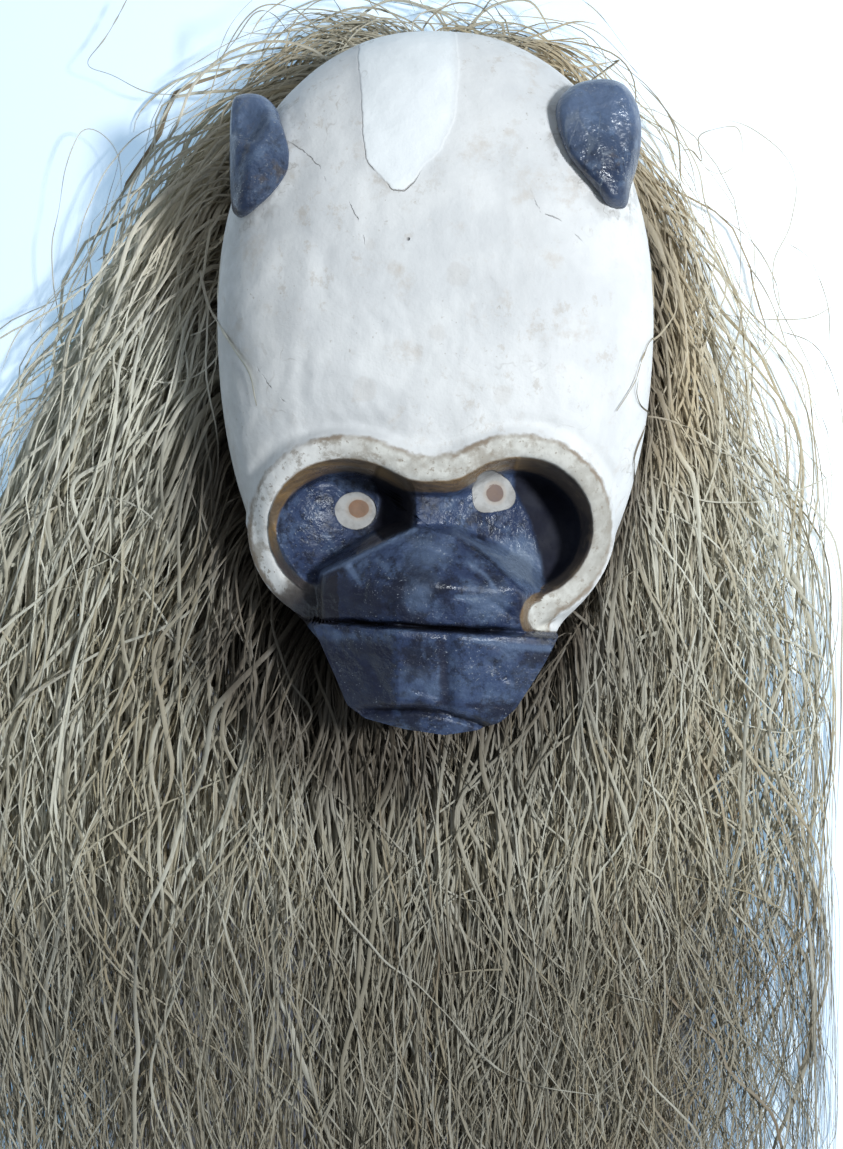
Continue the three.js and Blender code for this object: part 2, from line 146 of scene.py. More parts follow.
# ---------------------------------------------------------------- the carved mask, as in the CAD, in millimetres
HEAD = (94.6, 125.0, 154.0, 25.0, 2.2)
LOBE_LEFT, LOBE_RIGHT = (-37.5, -66.0, 38.5, 34.5), (34.0, -65.5, 37.0, 34.5)
MUZZLE_PLAN = [(-8.9, -64.5), (-29, -74.3), (-47, -83.5), (-47.4, -105), (36.7, -109), (35.2, -93), (31.5, -87.8), (22, -80), (8, -68.5)]
JAW_PLAN = [(-52, -104), (-48, -113.2), (-41.6, -128), (-37.4, -138.5), (-30, -144.3), (-13.2, -148.5), (3.7, -151), (17.4, -149),
            (26.9, -145.3), (33.2, -139.6), (38.5, -131.1), (44.8, -120.6), (50.5, -109)]

def ellipse_distance(e, x, y):
    cx, cy, a, b = e
    dx, dy = x - cx, y - cy
    k0, k1 = np.hypot(dx / a, dy / b), np.hypot(dx / a**2, dy / b**2)
    return np.where(k1 < 1e-9, -min(a, b), k0 * (k0 - 1) / np.maximum(k1, 1e-9))


def oval_radius(o, x, y):
    dy = y - o[3]
    b = np.where(dy > 0, o[1], o[2])
    return (np.abs(x / o[0]) ** o[4] + np.abs(dy / b) ** o[4]) ** (1 / o[4])


def slit_y(x):
    return -105.8 - 0.0615 * x


def lip_y(x):
    return -139.6 - np.where(x > -12, 0.0072, 0.0042) * (x + 12) ** 2


def ring_distance(x, y):
    return smin(ellipse_distance(LOBE_LEFT, x, y), ellipse_distance(LOBE_RIGHT, x, y), 19)


def jaw_distance(x, y):
    return plan_distance(JAW_PLAN, x, y)


def face_outline(x, y):
    return smin(ring_distance(x, y) - 5, jaw_distance(x, y), 8)


def opening_distance(x, y):
    middle = smax(smax(1.94 * (slit_y(x) - y) - 6.8, np.abs(x + 3) - 48, 4), y + 41, 4)
    return smin(ring_distance(x, y), middle, 6)


def dome(x, y):
    return 48 + 74 * np.maximum(0, 1 - oval_radius(HEAD, x, y) ** 2.6) ** (1 / 3.4) - 0.1 * np.maximum(0, 25 - y)


def plate(x, y):
    return 111 - 32 * (x / 78) ** 2 - 0.3 * np.maximum(0, -60 - y)


def bowl_left(x, y):
    z = 71 + np.where(x < -38, (x + 38) ** 2 / 54, (x + 38) ** 2 / 130) + (y + 57) ** 2 / 80
    bank = smax(x + 15, 0.87 * (-y - 66.5) + 0.49 * (x + 15), 3)
    return z + 3.0 * smax(bank, 0, 2.5)


def bowl_right(x, y):
    return 68 + 0.55 * smax(48 - x, 0, 10) + np.maximum(0, x - 48) ** 2 / 30 + (y + 62) ** 2 / 190


def muzzle_top(x, y):
    bow = 0.0048 * np.maximum(0, x + 4) ** 2 + 0.5 * smax(-17 - x, 0, 5)
    z = smin(101 + 0.62 * (-66 - y) + 2.5 * gauss(x + 2, 9), 116.5 - 0.45 * np.maximum(0, -89 - y), 2) - bow
    return z - lerp(3.5, 2.1, step(-12, 4, x)) * np.maximum(0, plan_distance(MUZZLE_PLAN, x, y))


def jaw_top(x, y):
    z = 116 - 0.42 * (-110 - y) - 0.7 * np.maximum(0, -16 - x) - 0.25 * np.maximum(0, x - 8) - 2.2 * gauss(x - 4, 3.5)
    z = z - 0.5 * np.maximum(0, y - (slit_y(x) - 4))
    lip = 100 - 0.6 * (lip_y(x) - y) - 0.012 * (x + 3) ** 2
    z = lerp(z, np.minimum(z, lip), step(-0.9, 0.9, lip_y(x) - y))
    z = z - 4.0 * gauss(y - lip_y(x), 1.9) * step(-38, -26, x) * step(34, 24, x)
    return z - 4 * np.maximum(0, jaw_distance(x, y))


def front_height(x, y):
    d = opening_distance(x, y)
    z = smax(dome(x, y), plate(x, y) - 6 * np.maximum(0, face_outline(x, y)), 6)
    z = z + 2.7 * np.exp(-((d / 5.6) ** 4)) * step(-106, -96, y) - 1.6 * gauss(d - 9.0, 3.2) * step(-75, -45, y)
    floor = smin(bowl_left(x, y), bowl_right(x, y), 2)
    floor = smin(floor, 95 + 0.25 * (-48 - y), 3)
    z = lerp(z, np.minimum(z, floor), step(-5, -11, d))
    z = smax(z, muzzle_top(x, y), 2)
    below = step(0, 1.8, slit_y(x) - y)
    lower = smax(z - 40 * below * step(8, -6, jaw_distance(x, y)), jaw_top(x, y) - 8 * (1 - below), 1.5)
    z = np.where(below > 0, lower, z)
    slit = y - slit_y(x) - 0.7 * noise2(x / 11, x * 0 + 0.3, 91)
    return z - 8 * gauss(slit, 1.0 + 0.5 * noise2(x / 14, x * 0 + 4.3, 92)) * step(-50, -34, x) * step(42, 20, x)


def side_distance(x, y, z):
    shrink = 1 - 0.07 * np.maximum(0, 1 - z / 48) ** 1.5
    head = (oval_radius(HEAD, x, y) / shrink - 1) * 96
    draw = lerp(0.1, 0.32, step(-100, -140, y))
    return np.minimum(head, face_outline(x, y) + draw * np.maximum(0, 85 - z))


def outside_hollow(x, y, z):
    back = y + 0.22 * z * step(-20, -80, y)
    r = oval_radius((78.0, 112.0, 128.0, 22.0, 2.2), x, back)
    roof = 46 + 0.55 * (back + 80) + 32 * gauss(x + 4, 26) * gauss(back + 80, 17)
    deep = 104 * np.maximum(0, 1 - r**2.4) ** (1 / 2.2)
    return np.where(r >= 1, 1, z - smin(deep, np.maximum(0, roof) + 0.0001, 12))


EAR_OUTLINES = {
    "ear_right": [(61.1, 119.0), (69.3, 119.8), (76.3, 118.0), (81.2, 112.8), (84.1, 104.6), (84.5, 94.4), (82.9, 84.1), (80.4, 75.9), (78.6, 68.2),
                  (75.5, 66.0), (69.7, 66.9), (65.6, 71.8), (59.1, 78.8), (53.3, 86.2), (49.6, 96.4), (48.8, 105.9), (51.7, 112.8), (55.8, 116.9)],
    "ear_left": [(-85.0, 110.8), (-81.0, 115.3), (-72.4, 115.0), (-66.6, 110.1), (-63.7, 101.9), (-60.6, 91.5), (-60.0, 85.3), (-61.2, 79.1),
                 (-66.6, 71.7), (-73.6, 65.9), (-79.4, 63.2), (-83.0, 65.0), (-85.2, 70.5), (-85.8, 91.5)],
}


def closed_curve(points, n):
    p = np.asarray(points, float)
    out = []
    for i in range(len(p)):
        a, b, c, d = p[i - 1], p[i], p[(i + 1) % len(p)], p[(i + 2) % len(p)]
        t = np.linspace(0, 1, 12, endpoint=False)[:, None]
        out.append(0.5 * (2 * b + (c - a) * t + (2 * a - 5 * b + 4 * c - d) * t**2 + (3 * b - a - 3 * c + d) * t**3))
    q = np.concatenate(out + [p[:1]])
    s = np.concatenate([[0], np.cumsum(np.linalg.norm(np.diff(q, axis=0), axis=1))])
    at = np.linspace(0, s[-1], n, endpoint=False)
    return np.stack([np.interp(at, s, q[:, 0]), np.interp(at, s, q[:, 1])], 1)


EAR_CURVES = {name: closed_curve(line, 72) for name, line in EAR_OUTLINES.items()}


def eye_right(x, y):
    return -plan_distance(EYE_CURVE, x, y)


def ear_plan(name, x, y):
    return plan_distance(EAR_CURVES[name], x, y)


PATCH = [(-15.2, 150), (-31.8, 147.6), (-32.2, 130.8), (-30.4, 111.7), (-29.4, 92.4), (-27.6, 82.0), (-22.7, 76.7), (-17.9, 71.1), (-13.0, 70.6),
         (-9.4, 73.9), (-5.4, 80.2), (1.5, 86.5), (5.1, 94.3), (7.6, 101.0), (9.5, 122.3), (8.2, 150)]
EYE_CURVE = closed_curve([(15.8, -46.5), (19.0, -42.2), (25.1, -40.9), (31.0, -44.0), (34.2, -50.2), (32.6, -54.8), (27.5, -56.9), (20.0, -57.8), (16.3, -55.2), (15.3, -50.5)], 48)
CRACKS = [[(37.9, 72.3), (41.5, 62.5), (50.2, 59.4), (60.2, 50.3)],
          [(-60.5, 93.4), (-53.8, 88.2), (-47.4, 81.6), (-44.5, 75)],
          [(-74.2, 1.6), (-67.6, -7.5), (-58.7, -16.5)],
          [(-35.0, 66.0), (-30.0, 55.0), (-29.0, 49.0)]]


SHADE_RIGHT = [(33.5, -30), (33.5, -47.5), (40.4, -60.5), (44.8, -73.8), (47, -86.9), (51, -91), (70, -92), (80, -66), (60, -24)]
SHADE_LEFT = [(-27.8, -42.9), (-24.5, -51.7), (-25.6, -58.4), (-29, -63.5), (-22, -70.5), (-9.5, -65.3), (-8.5, -54), (-13, -44), (-22, -38)]
SCARS = [(-34.5, -81, -29.5, -88, 1.5, 1.3), (14.5, -82, 20, -86.5, 1.3, 1.1), (-8, -72, 6, -77, 1.6, 0.9), (-24, -84, -12, -87, 1.4, 0.9),
         (0, -66, 5, -74, 1.4, 0.8), (24, -96, 31, -101, 1.2, 0.9), (-38, -96, -30, -93, 1.5, 1.0), (-20, -98, -10, -95, 1.5, 0.8),
         (-28, -119, -22, -131, 2.2, 1.0), (22, -120, 30, -127, 1.8, 0.9), (-8, -131, 0, -134, 2.0, 0.8)]


def weathering(x, y):
    """Low brush strokes and hollows in the ground, a hand's work, in millimetres."""
    bx, by = x + 9 * noise2(x / 31, y / 27, 15), y + 9 * noise2(x / 29 + 7, y / 33, 16)
    lump = 0.7 * noise2(bx / 34 + 3, by / 44, 11) + 0.42 * noise2(bx / 15, by / 17, 17) + 0.16 * noise2(bx / 7, by / 9, 18)
    upright = noise2(bx / 8.5, by / 37, 12) * step(-15, -62, x)
    level = noise2(bx / 33, by / 7.5, 14) * step(32, -8, y) * step(-70, -40, x)
    return lump + 0.62 * upright + 0.26 * level + 0.19 * noise2(bx / 5, by / 6, 13)


def painted_front(x, y):
    """The height of the finished front: the carved shape, with the ground, the filler and the thick paint on it."""
    z = front_height(x, y)
    d = opening_distance(x, y)
    white = step(2, 9, d) * step(-6, 3, -(jaw_distance(x, y) * -1))
    rough = weathering(x, y)
    z = z + white * rough * 1.7
    face = step(-8, -12, d)
    z = z + face * (0.28 * noise2(x / 7, y / 5, 21) + 0.16 * noise2(x / 3.1, y / 2.7, 22))
    z = z + (1 - white) * (1 - face) * (0.30 * noise2(x / 8, y / 8, 31) + 0.12 * noise2(x / 3, y / 3, 32))
    patch = -plan_distance(PATCH, x, y)
    sharp = step(8, -8, x - 0.25 * (y - 71))
    z = z + lerp(0.45 * step(-4, 5, patch), 0.45 * step(-1.1, 1.1, patch), sharp) + 0.5 * step(0, 14, patch)
    for ax, ay, bx, by, wide, low in SCARS:
        t = np.clip(((x - ax) * (bx - ax) + (y - ay) * (by - ay)) / ((bx - ax) ** 2 + (by - ay) ** 2), 0, 1)
        z = z - low * gauss(np.hypot(x - ax - (bx - ax) * t, y - ay - (by - ay) * t), wide)
    for name, size in (("ear_right", 1.9), ("ear_left", 1.5)):
        e = ear_plan(name, x, y)
        z = z + size * gauss(np.maximum(e, -3) + 1.5, 4.2)
    left = 8.5 * (1 - np.hypot((x + 34.3) / 8.9, (y + 56.6) / 8.1))
    right = eye_right(x, y)
    z = z + 0.55 * step(-0.5, 0.7, left) + 0.55 * step(-0.5, 0.7, right)
    pupils = np.maximum(4.2 - np.hypot((x + 33) / 1.05, (y + 55.7) / 0.92), 3.8 - np.hypot(x - 25.1, y + 49.5))
    z = z + 0.3 * step(-0.4, 0.5, pupils)
    return z


# ---------------------------------------------------------------- meshes
BEHIND = np.array([0.0, -66.0, -60.0])


def first_past(values, level):
    """For each column, the row, with its fraction, where the values first reach the level."""
    hit = values >= level
    i = np.argmax(hit, axis=0)
    i = np.where(hit.any(axis=0), i, len(values) - 1)
    j = np.maximum(i - 1, 0)
    cols = np.arange(values.shape[1])
    a, b = values[j, cols], values[i, cols]
    return np.where(i == 0, 0, j + np.clip((level - a) / np.where(b - a == 0, 1, b - a), 0, 1))


def mesh_object(name, co_mm, faces, body="root", smooth=True, sharp_angle=None):
    me = bpy.data.meshes.new(name)
    me.from_pydata((np.asarray(co_mm) + SHIFT) / 1000, [], np.asarray(faces))
    me.polygons.foreach_set("use_smooth", np.full(len(me.polygons), smooth))
    me.update()
    ob = bpy.data.objects.new(name, me)
    bpy.context.scene.collection.objects.link(ob)
    if sharp_angle:
        me.set_sharp_from_angle(angle=math.radians(sharp_angle))
    return ob


def set_attribute(ob, name, values):
    a = ob.data.attributes.new(name, "FLOAT", "POINT")
    a.data.foreach_set("value", np.asarray(values, np.float32))


def dome_faces(starts, counts, centre, flip):
    """Triangles of rings round a pole; a ring may have twice the points of the one inside it."""
    out = []
    i = np.arange(counts[0])
    out.append(np.stack([np.full_like(i, centre), starts[0] + i, starts[0] + (i + 1) % counts[0]], 1))
    for j in range(len(counts) - 1):
        n, m = counts[j], counts[j + 1]
        i = np.arange(n)
        a, b = starts[j] + i, starts[j] + (i + 1) % n
        if m == 2 * n:
            c, d, e = starts[j + 1] + 2 * i, starts[j + 1] + 2 * i + 1, starts[j + 1] + (2 * i + 2) % m
            out += [np.stack([a, c, d], 1), np.stack([a, d, b], 1), np.stack([b, d, e], 1)]
        else:
            c, d = starts[j + 1] + i, starts[j + 1] + (i + 1) % m
            out += [np.stack([a, c, d], 1), np.stack([a, d, b], 1)]
    f = np.concatenate(out)
    return f[:, ::-1] if flip else f


def build_mask():
    n = 400
    phi = 2 * np.pi * np.arange(n) / n
    c, s = np.cos(phi), np.sin(phi)
    rs = np.arange(0, 132, 0.25)[:, None]
    opened = opening_distance(c * rs, -66 + s * rs)
    levels = np.concatenate([np.linspace(-14, -11, 4)[:-1], np.linspace(-11, -5, 11)[:-1], np.linspace(-5, 1, 8)[:-1], np.linspace(1, 9.5, 8)])
    far = np.arange(20, 240, 0.25)[:, None]
    fx, fy = c * far, -66 + s * far
    edge = first_past(side_distance(fx, fy, np.maximum(48, front_height(fx, fy))), 0) * 0.25 + 20
    lines = []
    for i, level in enumerate(levels):
        r = first_past(opened, level) * 0.25
        if lines:
            r = np.maximum(r, lines[-1] + 0.12)
        lines.append(np.minimum(r, edge - 0.14 * (len(levels) + 9 - i)))
    last = lines[-1]
    mouth = first_past(np.where((s < 0) & (fy - lip_y(fx) < 0), 1.0, -1.0), 0) * 0.25 + 20
    mouth = np.clip(np.where(s < 0, mouth, 1e3), lerp(last, edge, 0.5), lerp(last, edge, 0.9))
    inner, to_mouth, to_edge, to_rim = 52, 58, 14, 22
    plans = [lines[0] * (j + 1) / (inner + 1) for j in range(inner)] + lines
    plans += [lerp(last, mouth, (j + 1) / to_mouth) for j in range(to_mouth)]
    plans += [lerp(mouth, edge, math.sin((j + 1) / to_edge * math.pi / 2)) for j in range(to_edge)]
    counts = [100 if j < 14 else 200 if j < 30 else 400 for j in range(len(plans))]
    points = [np.array([[0, -66, painted_front(np.array([0.0]), np.array([-66.0]))[0]]])]
    for r, k in zip(plans, counts):
        e = n // k
        x, y = (c * r)[::e], (-66 + s * r)[::e]
        points.append(np.stack([x, y, painted_front(x, y)], 1))
    edge_z = points[-1][:, 2]
    for j in range(1, to_rim + 1):
        z = edge_z * (1 - j / to_rim)
        lo, hi = np.full(n, 20.0), edge + 12
        for _ in range(30):
            mid = (lo + hi) / 2
            out = side_distance(c * mid, -66 + s * mid, z) > 0
            hi, lo = np.where(out, mid, hi), np.where(out, lo, mid)
        ripple = 0.5 * noise2(phi * 18, z / 16 + 5, 41) * math.sin(math.pi * j / to_rim)
        points.append(np.stack([c * (lo + ripple), -66 + s * (lo + ripple), z], 1))
        counts.append(n)
    starts = np.cumsum([1] + counts[:-1])
    faces = [dome_faces(starts, counts, 0, False)]
    outer_start, outer_total = starts[-1], sum(counts) + 1
    # the hollow, worked out along rays
    m, rings = 200, 34
    ph = 2 * np.pi * np.arange(m) / m

    def reach(dx, dy, dz, far_away=330.0):
        r = np.full(np.shape(dx), far_away)
        inside = np.zeros(np.shape(dx), bool)
        while True:
            inside |= outside_hollow(dx * r, -66 + dy * r, -60 + dz * r) <= 0
            if inside.all() or r.min() < 2:
                break
            r = np.where(inside, r, r - 2)
        lo, hi = r, r + 2
        for _ in range(20):
            mid = (lo + hi) / 2
            out = outside_hollow(dx * mid, -66 + dy * mid, -60 + dz * mid) > 0
            hi, lo = np.where(out, mid, hi), np.where(out, lo, mid)
        return lo
    rim = np.full(m, 150.0)
    lo, hi = np.full(m, 10.0), np.full(m, 230.0)
    for _ in range(40):
        mid = (lo + hi) / 2
        out = outside_hollow(np.cos(ph) * mid, -66 + np.sin(ph) * mid, np.full(m, 0.0005)) > 0
        hi, lo = np.where(out, mid, hi), np.where(out, lo, mid)
    rim = lo
    top = reach(np.array([0.0]), np.array([0.0]), np.array([1.0]))[0]
    points.append(np.array([[0, -66, -60 + top]]))
    hollow_counts = []
    for j in range(1, rings + 1):
        if j == rings:
            points.append(np.stack([np.cos(ph) * rim, -66 + np.sin(ph) * rim, np.zeros(m)], 1))
        else:
            psi = np.arctan2(rim, 60) * j / rings
            dx, dy, dz = np.sin(psi) * np.cos(ph), np.sin(psi) * np.sin(ph), np.cos(psi)
            r = reach(dx, dy, dz)
            gouge = 0.7 * noise2(dx * r / 9 + 40, dy * r / 22, 51)
            r = r + gouge * math.sin(math.pi * min(1, (rings - j) / 6) / 2)
            points.append(np.stack([dx * r, -66 + dy * r, -60 + dz * r], 1))
        hollow_counts.append(m)
    hollow_starts = outer_total + np.cumsum([1] + hollow_counts[:-1])
    faces.append(dome_faces(hollow_starts, hollow_counts, outer_total, True))
    i = np.arange(m)
    a, b = hollow_starts[-1] + i, hollow_starts[-1] + (i + 1) % m
    o0, o1, o2 = outer_start + 2 * i, outer_start + 2 * i + 1, outer_start + (2 * i + 2) % n
    faces += [np.stack([a, o1, o0], 1), np.stack([a, b, o1], 1), np.stack([b, o2, o1], 1)]
    co = np.concatenate(points)
    ob = mesh_object("mask_wood", co, np.concatenate(faces), sharp_angle=62)
    x, y, z = co.T
    inside = np.zeros(len(co))
    inside[outer_total:] = 1
    d = opening_distance(x, y)
    ring_s = d + 5.2
    end = (x < 44.5) & (x > -46) & (y < -84)
    ring_s = np.where(end, np.minimum(6.3 - np.hypot(x - 44.5, y + 101.5), d + 5.2 + 6 * step(-40, 20, x)), ring_s)
    nearer_jaw = (ring_distance(x, y) - 5) - jaw_distance(x, y)
    cut = np.maximum(-nearer_jaw * 0.8, y - slit_y(x) - 0.5)
    set_attribute(ob, "ring_s", ring_s)
    set_attribute(ob, "cut_s", np.clip(cut, -20, 20))
    def near(wide, *line):
        return gauss(np.abs(line_offset(line, x, y)[0]), wide)
    # pale: painted light and shade on the carved face, lighter on lit ridges, facets and cheeks, darker on facets,
    # creases and the nostril that face away from the light, with a few light scraped spots
    pale = 1.0 * near(1.5, (-9.5, -65.5), (-28, -74), (-49, -84.5)) + 0.5 * gauss(np.hypot((x + 4) / 12, (y + 76) / 9), 1)
    pale += 1.25 * near(2.0, (-36, -81), (-33.5, -84), (-31, -88)) + 0.7 * near(1.6, (-24, -78), (-20, -82)) + 0.8 * near(1.3, (8, -93), (17, -94)) + 0.5 * near(0.9, (14, -80), (20, -84), (24, -90))
    pale += 0.9 * gauss(np.hypot((x - 31 + 0.5 * (y + 76)) / 11, (y + 76) / 13), 1) + 0.6 * near(2.0, (8, -66), (20, -73), (36, -83), (46, -93))
    pale += 0.7 * gauss(np.hypot((x + 8) / 8, (y + 94) / 8), 1) + 0.5 * gauss(np.hypot((x - 18) / 7, (y + 96) / 6), 1) + 1.5 * gauss(np.hypot((x - 37) / 7, (y + 79) / 9), 1)
    pale += 0.25 * gauss(np.hypot((x + 3) / 8, (y + 72) / 6), 1) - 0.45 * gauss(np.hypot((x - 23) / 12, (y + 66) / 8), 1) - 0.3 * gauss(np.hypot((x + 1) / 7, (y + 52) / 8), 1) + 0.5 * gauss(np.hypot((x - 25) / 7, (y + 95) / 7), 1)
    pale += 0.35 * step(-18, -14, x) * step(2, -2, x) * step(-119, -124, y) * step(-139, -136, y)
    pale += 0.25 * step(3, 8, x) * step(-118, -124, y) * step(-140, -136, y) + 0.9 * near(1.6, (16, -110.5), (30, -113), (46, -114.5))
    pale += 0.8 * near(1.6, (-38, -143), (-28, -146), (-12, -149.5)) - 0.7 * near(2.6, (2, -113), (4, -134))
    pale -= 0.9 * gauss(np.hypot((x + 33) / 16, (y + 94) / 11), 1) + 0.6 * gauss(np.hypot((x - 4) / 4, (y + 95) / 7), 1)
    pale -= 0.7 * step(-15, -20, x) * step(-108, -114, y) + 0.5 * near(1.6, (9, -71), (22, -79.5), (31, -86.5), (36, -96))
    pale -= 0.6 * near(1.8, (-36, -138.5), (-14, -137.5), (4, -137), (26, -138.5)) + 0.6 * gauss(np.hypot((x - 35) / 4, (y + 98) / 8), 1)
    pale -= 0.6 * near(2.2, (-50, -84), (-50, -103))
    # painted shadow: the deepest parts of both eye hollows, inside SHADE_RIGHT and SHADE_LEFT, are painted near black
    set_attribute(ob, "painted_shadow", np.clip(np.maximum(-plan_distance(SHADE_RIGHT, x, y), -0.7 - plan_distance(SHADE_LEFT, x, y)), -20, 20))
    set_attribute(ob, "pale", pale)
    # left_end: how far along the lower left end of the rim, for the painted shade there
    run = (x + 63) * 0.62 - (y + 88) * 0.78
    set_attribute(ob, "left_end", np.where((x < -40) & (y < -70), run, -30))
    slit = y - slit_y(x) - 0.7 * noise2(x / 11, x * 0 + 0.3, 91)
    set_attribute(ob, "slit_s", np.clip(np.abs(slit) + 6 * step(-38, -52, x) + 6 * step(24, 44, x), 0, 20))
    set_attribute(ob, "lip_s", np.clip(np.abs(y - lip_y(x)) + 6 * step(-22, -36, x) + 6 * step(20, 32, x), 0, 20))
    set_attribute(ob, "open_d", np.clip(d, -30, 60))
    set_attribute(ob, "outline_d", np.clip(face_outline(x, y), -30, 60))
    set_attribute(ob, "inside", inside)
    set_attribute(ob, "patch_s", np.clip(-plan_distance(PATCH, x, y), -20, 20))
    left = 8.5 * (1 - np.hypot((x + 34.3) / 8.9, (y + 56.6) / 8.1))
    set_attribute(ob, "eye_s", np.clip(np.maximum(left, eye_right(x, y)), -20, 20))
    set_attribute(ob, "pupil_s", np.maximum(4.2 - np.hypot((x + 33) / 1.05, (y + 55.7) / 0.92), 3.8 - np.hypot(x - 25.1, y + 49.5)).clip(-20, 20))
    offset, strength = np.full(len(co), 20.0), np.zeros(len(co))
    for line in CRACKS:
        o, t = line_offset(line, x, y)
        near = np.abs(o) < np.abs(offset)
        offset = np.where(near, o, offset)
        strength = np.where(near, step(7, 3, np.abs(o)) * step(0.0, 0.12, t) * step(1.0, 0.85, t), strength)
    set_attribute(ob, "crack_s", np.clip(offset, -20, 20))
    set_attribute(ob, "crack_m", strength)
    ears = np.minimum(np.abs(ear_plan("ear_right", x, y)), np.abs(ear_plan("ear_left", x, y)))
    set_attribute(ob, "ear_d", np.clip(ears, 0, 40))
    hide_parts("carved_mask")
    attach(ob, "root")
    return ob


def ear_top(name, x, y, deep):
    """Height of an ear above its widest line: rounded at the edge, cut to broad knife facets on top."""
    right = name == "ear_right"
    rise, soft = (17.0, 15.0) if right else (16.5, 11.5)
    edge = np.sqrt(np.maximum(0, 1 - (1 - np.clip(deep / soft, 0, 1)) ** 2))
    z = rise * edge
    if right:
        u, v = x - 66.5, y - 97.0
        for slope_x, slope_y, top in ((-0.08, 0.20, 16.0), (0.26, -0.02, 16.2), (-0.20, -0.10, 16.0), (0.04, -0.22, 16.2)):
            z = smin(z, top - slope_x * u - slope_y * v, 1.6)
    else:
        u, v = x + 73.0, y - 90.0
        for slope_x, slope_y, top in ((0.06, 0.10, 14.6), (-0.26, 0.06, 15.0), (-0.05, -0.20, 14.2), (0.12, -0.15, 14.2)):
            z = smin(z, top - slope_x * u - slope_y * v, 1.4)
        ledge = v - 1.5 + 0.35 * u
        z = z - 4.6 * gauss(u + 5.5, 8.5) * gauss(v - 13.5, 10.5) * step(-2.5, 3.5, ledge) * step(0, 3, deep)
        z = z + 1.0 * gauss(ledge + 1.0, 2.4) * step(0, 4, deep)
    seed = 61 if right else 71
    return z + step(0, 3, deep) * (0.55 * noise2(x / 9, y / 9, seed) + 0.28 * noise2(x / 3.6, y / 3.2, seed + 1))


def build_ear(name):
    n = 144
    line = closed_curve(EAR_OUTLINES[name], n)
    right = name == "ear_right"
    centre = line.mean(0)
    level = 101.0 if right else 94.0
    points = [np.array([[centre[0], centre[1], 0.0]])]
    fractions = np.sin(np.linspace(0, math.pi / 2, 58))[1:]
    for q in fractions:
        p = centre + (line - centre) * q
        points.append(np.concatenate([p, np.zeros((n, 1))], 1))
    co = np.concatenate(points)
    deep = np.maximum(0, -plan_distance(line, co[:, 0], co[:, 1]))
    deep[-n:] = 0
    base = smax(np.full(len(co), level), front_height(co[:, 0], co[:, 1]) + 3.5, 5)
    co[:, 2] = smin(base + ear_top(name, co[:, 0], co[:, 1], deep), np.full(len(co), level + 17.5), 4)
    skirt = []
    for j in range(1, 15):
        t = j / 14
        p = centre + (line - centre) * (1 - 0.34 * t**1.35)
        foot = front_height(*(centre + (line - centre) * 0.66).T) - 2.6
        foot = np.minimum(foot, co[-n:, 2] - 4)
        z = lerp(co[-n:, 2], foot, t) + 0.25 * noise2(np.arange(n) / 9.0, np.full(n, t * 4), 77)
        skirt.append(np.stack([p[:, 0], p[:, 1], z], 1))
    co = np.concatenate([co] + skirt)
    counts = [n] * (len(fractions) + 14)
    starts = 1 + n * np.arange(len(counts))
    faces = [dome_faces(starts, counts, 0, False)]
    low = len(co)
    co = np.concatenate([co, [[centre[0], centre[1], skirt[-1][:, 2].min()]]])
    i = np.arange(n)
    faces.append(np.stack([np.full_like(i, low), starts[-1] + (i + 1) % n, starts[-1] + i], 1))
    faces = np.concatenate(faces)
    a, b, c = co[faces[0][0]], co[faces[0][1]], co[faces[0][2]]
    if np.cross(b - a, c - a)[2] < 0:
        faces = faces[:, ::-1]
    ob = mesh_object(name + "_wood", co, faces, sharp_angle=60)
    edge = np.concatenate([deep, np.zeros(len(co) - len(deep))])
    set_attribute(ob, "deep", edge)
    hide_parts(name)
    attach(ob, "root")
    return ob


# ---------------------------------------------------------------- the palm fibre
LEFT_GUIDES = [
    [(-26, 140), (-48, 150), (-78, 142), (-112, 106), (-151, 42), (-186, -32), (-211, -108), (-215, -205), (-210, -310), (-204, -400)],
    [(-52, 128), (-74, 129), (-104, 97), (-142, 34), (-176, -42), (-203, -116), (-208, -205), (-202, -300), (-197, -390), (-193, -440)],
    [(-74, 104), (-98, 98), (-127, 54), (-156, -10), (-182, -80), (-197, -158), (-196, -262), (-188, -362), (-184, -455)],
    [(-86, 60), (-106, 50), (-129, 2), (-153, -58), (-173, -130), (-180, -222), (-174, -332), (-168, -462)],
    [(-88, 14), (-104, 0), (-121, -44), (-139, -104), (-152, -178), (-155, -283), (-148, -383), (-142, -466)],
    [(-80, -36), (-95, -52), (-109, -97), (-122, -158), (-127, -243), (-121, -353), (-115, -466)],
    [(-66, -80), (-79, -98), (-89, -142), (-96, -220), (-92, -330), (-86, -466)],
    [(-46, -108), (-57, -131), (-64, -180), (-66, -270), (-60, -370), (-54, -466)],
]
RIGHT_GUIDES = [
    [(28, 140), (56, 149), (88, 128), (114, 86), (138, 22), (155, -42), (166, -104), (174, -226), (177, -340), (174, -430)],
    [(54, 125), (77, 122), (100, 84), (119, 28), (135, -34), (147, -100), (157, -218), (160, -338), (157, -450)],
    [(74, 100), (91, 88), (105, 46), (117, -10), (128, -80), (137, -180), (140, -300), (138, -462)],
    [(86, 55), (98, 36), (106, -10), (114, -70), (120, -150), (121, -270), (118, -466)],
    [(88, 10), (96, -12), (100, -60), (103, -120), (103, -230), (100, -466)],
    [(78, -42), (86, -62), (89, -110), (88, -190), (85, -320), (82, -466)],
    [(64, -82), (72, -102), (73, -160), (70, -260), (66, -466)],
    [(46, -108), (54, -132), (57, -190), (55, -300), (51, -466)],
]
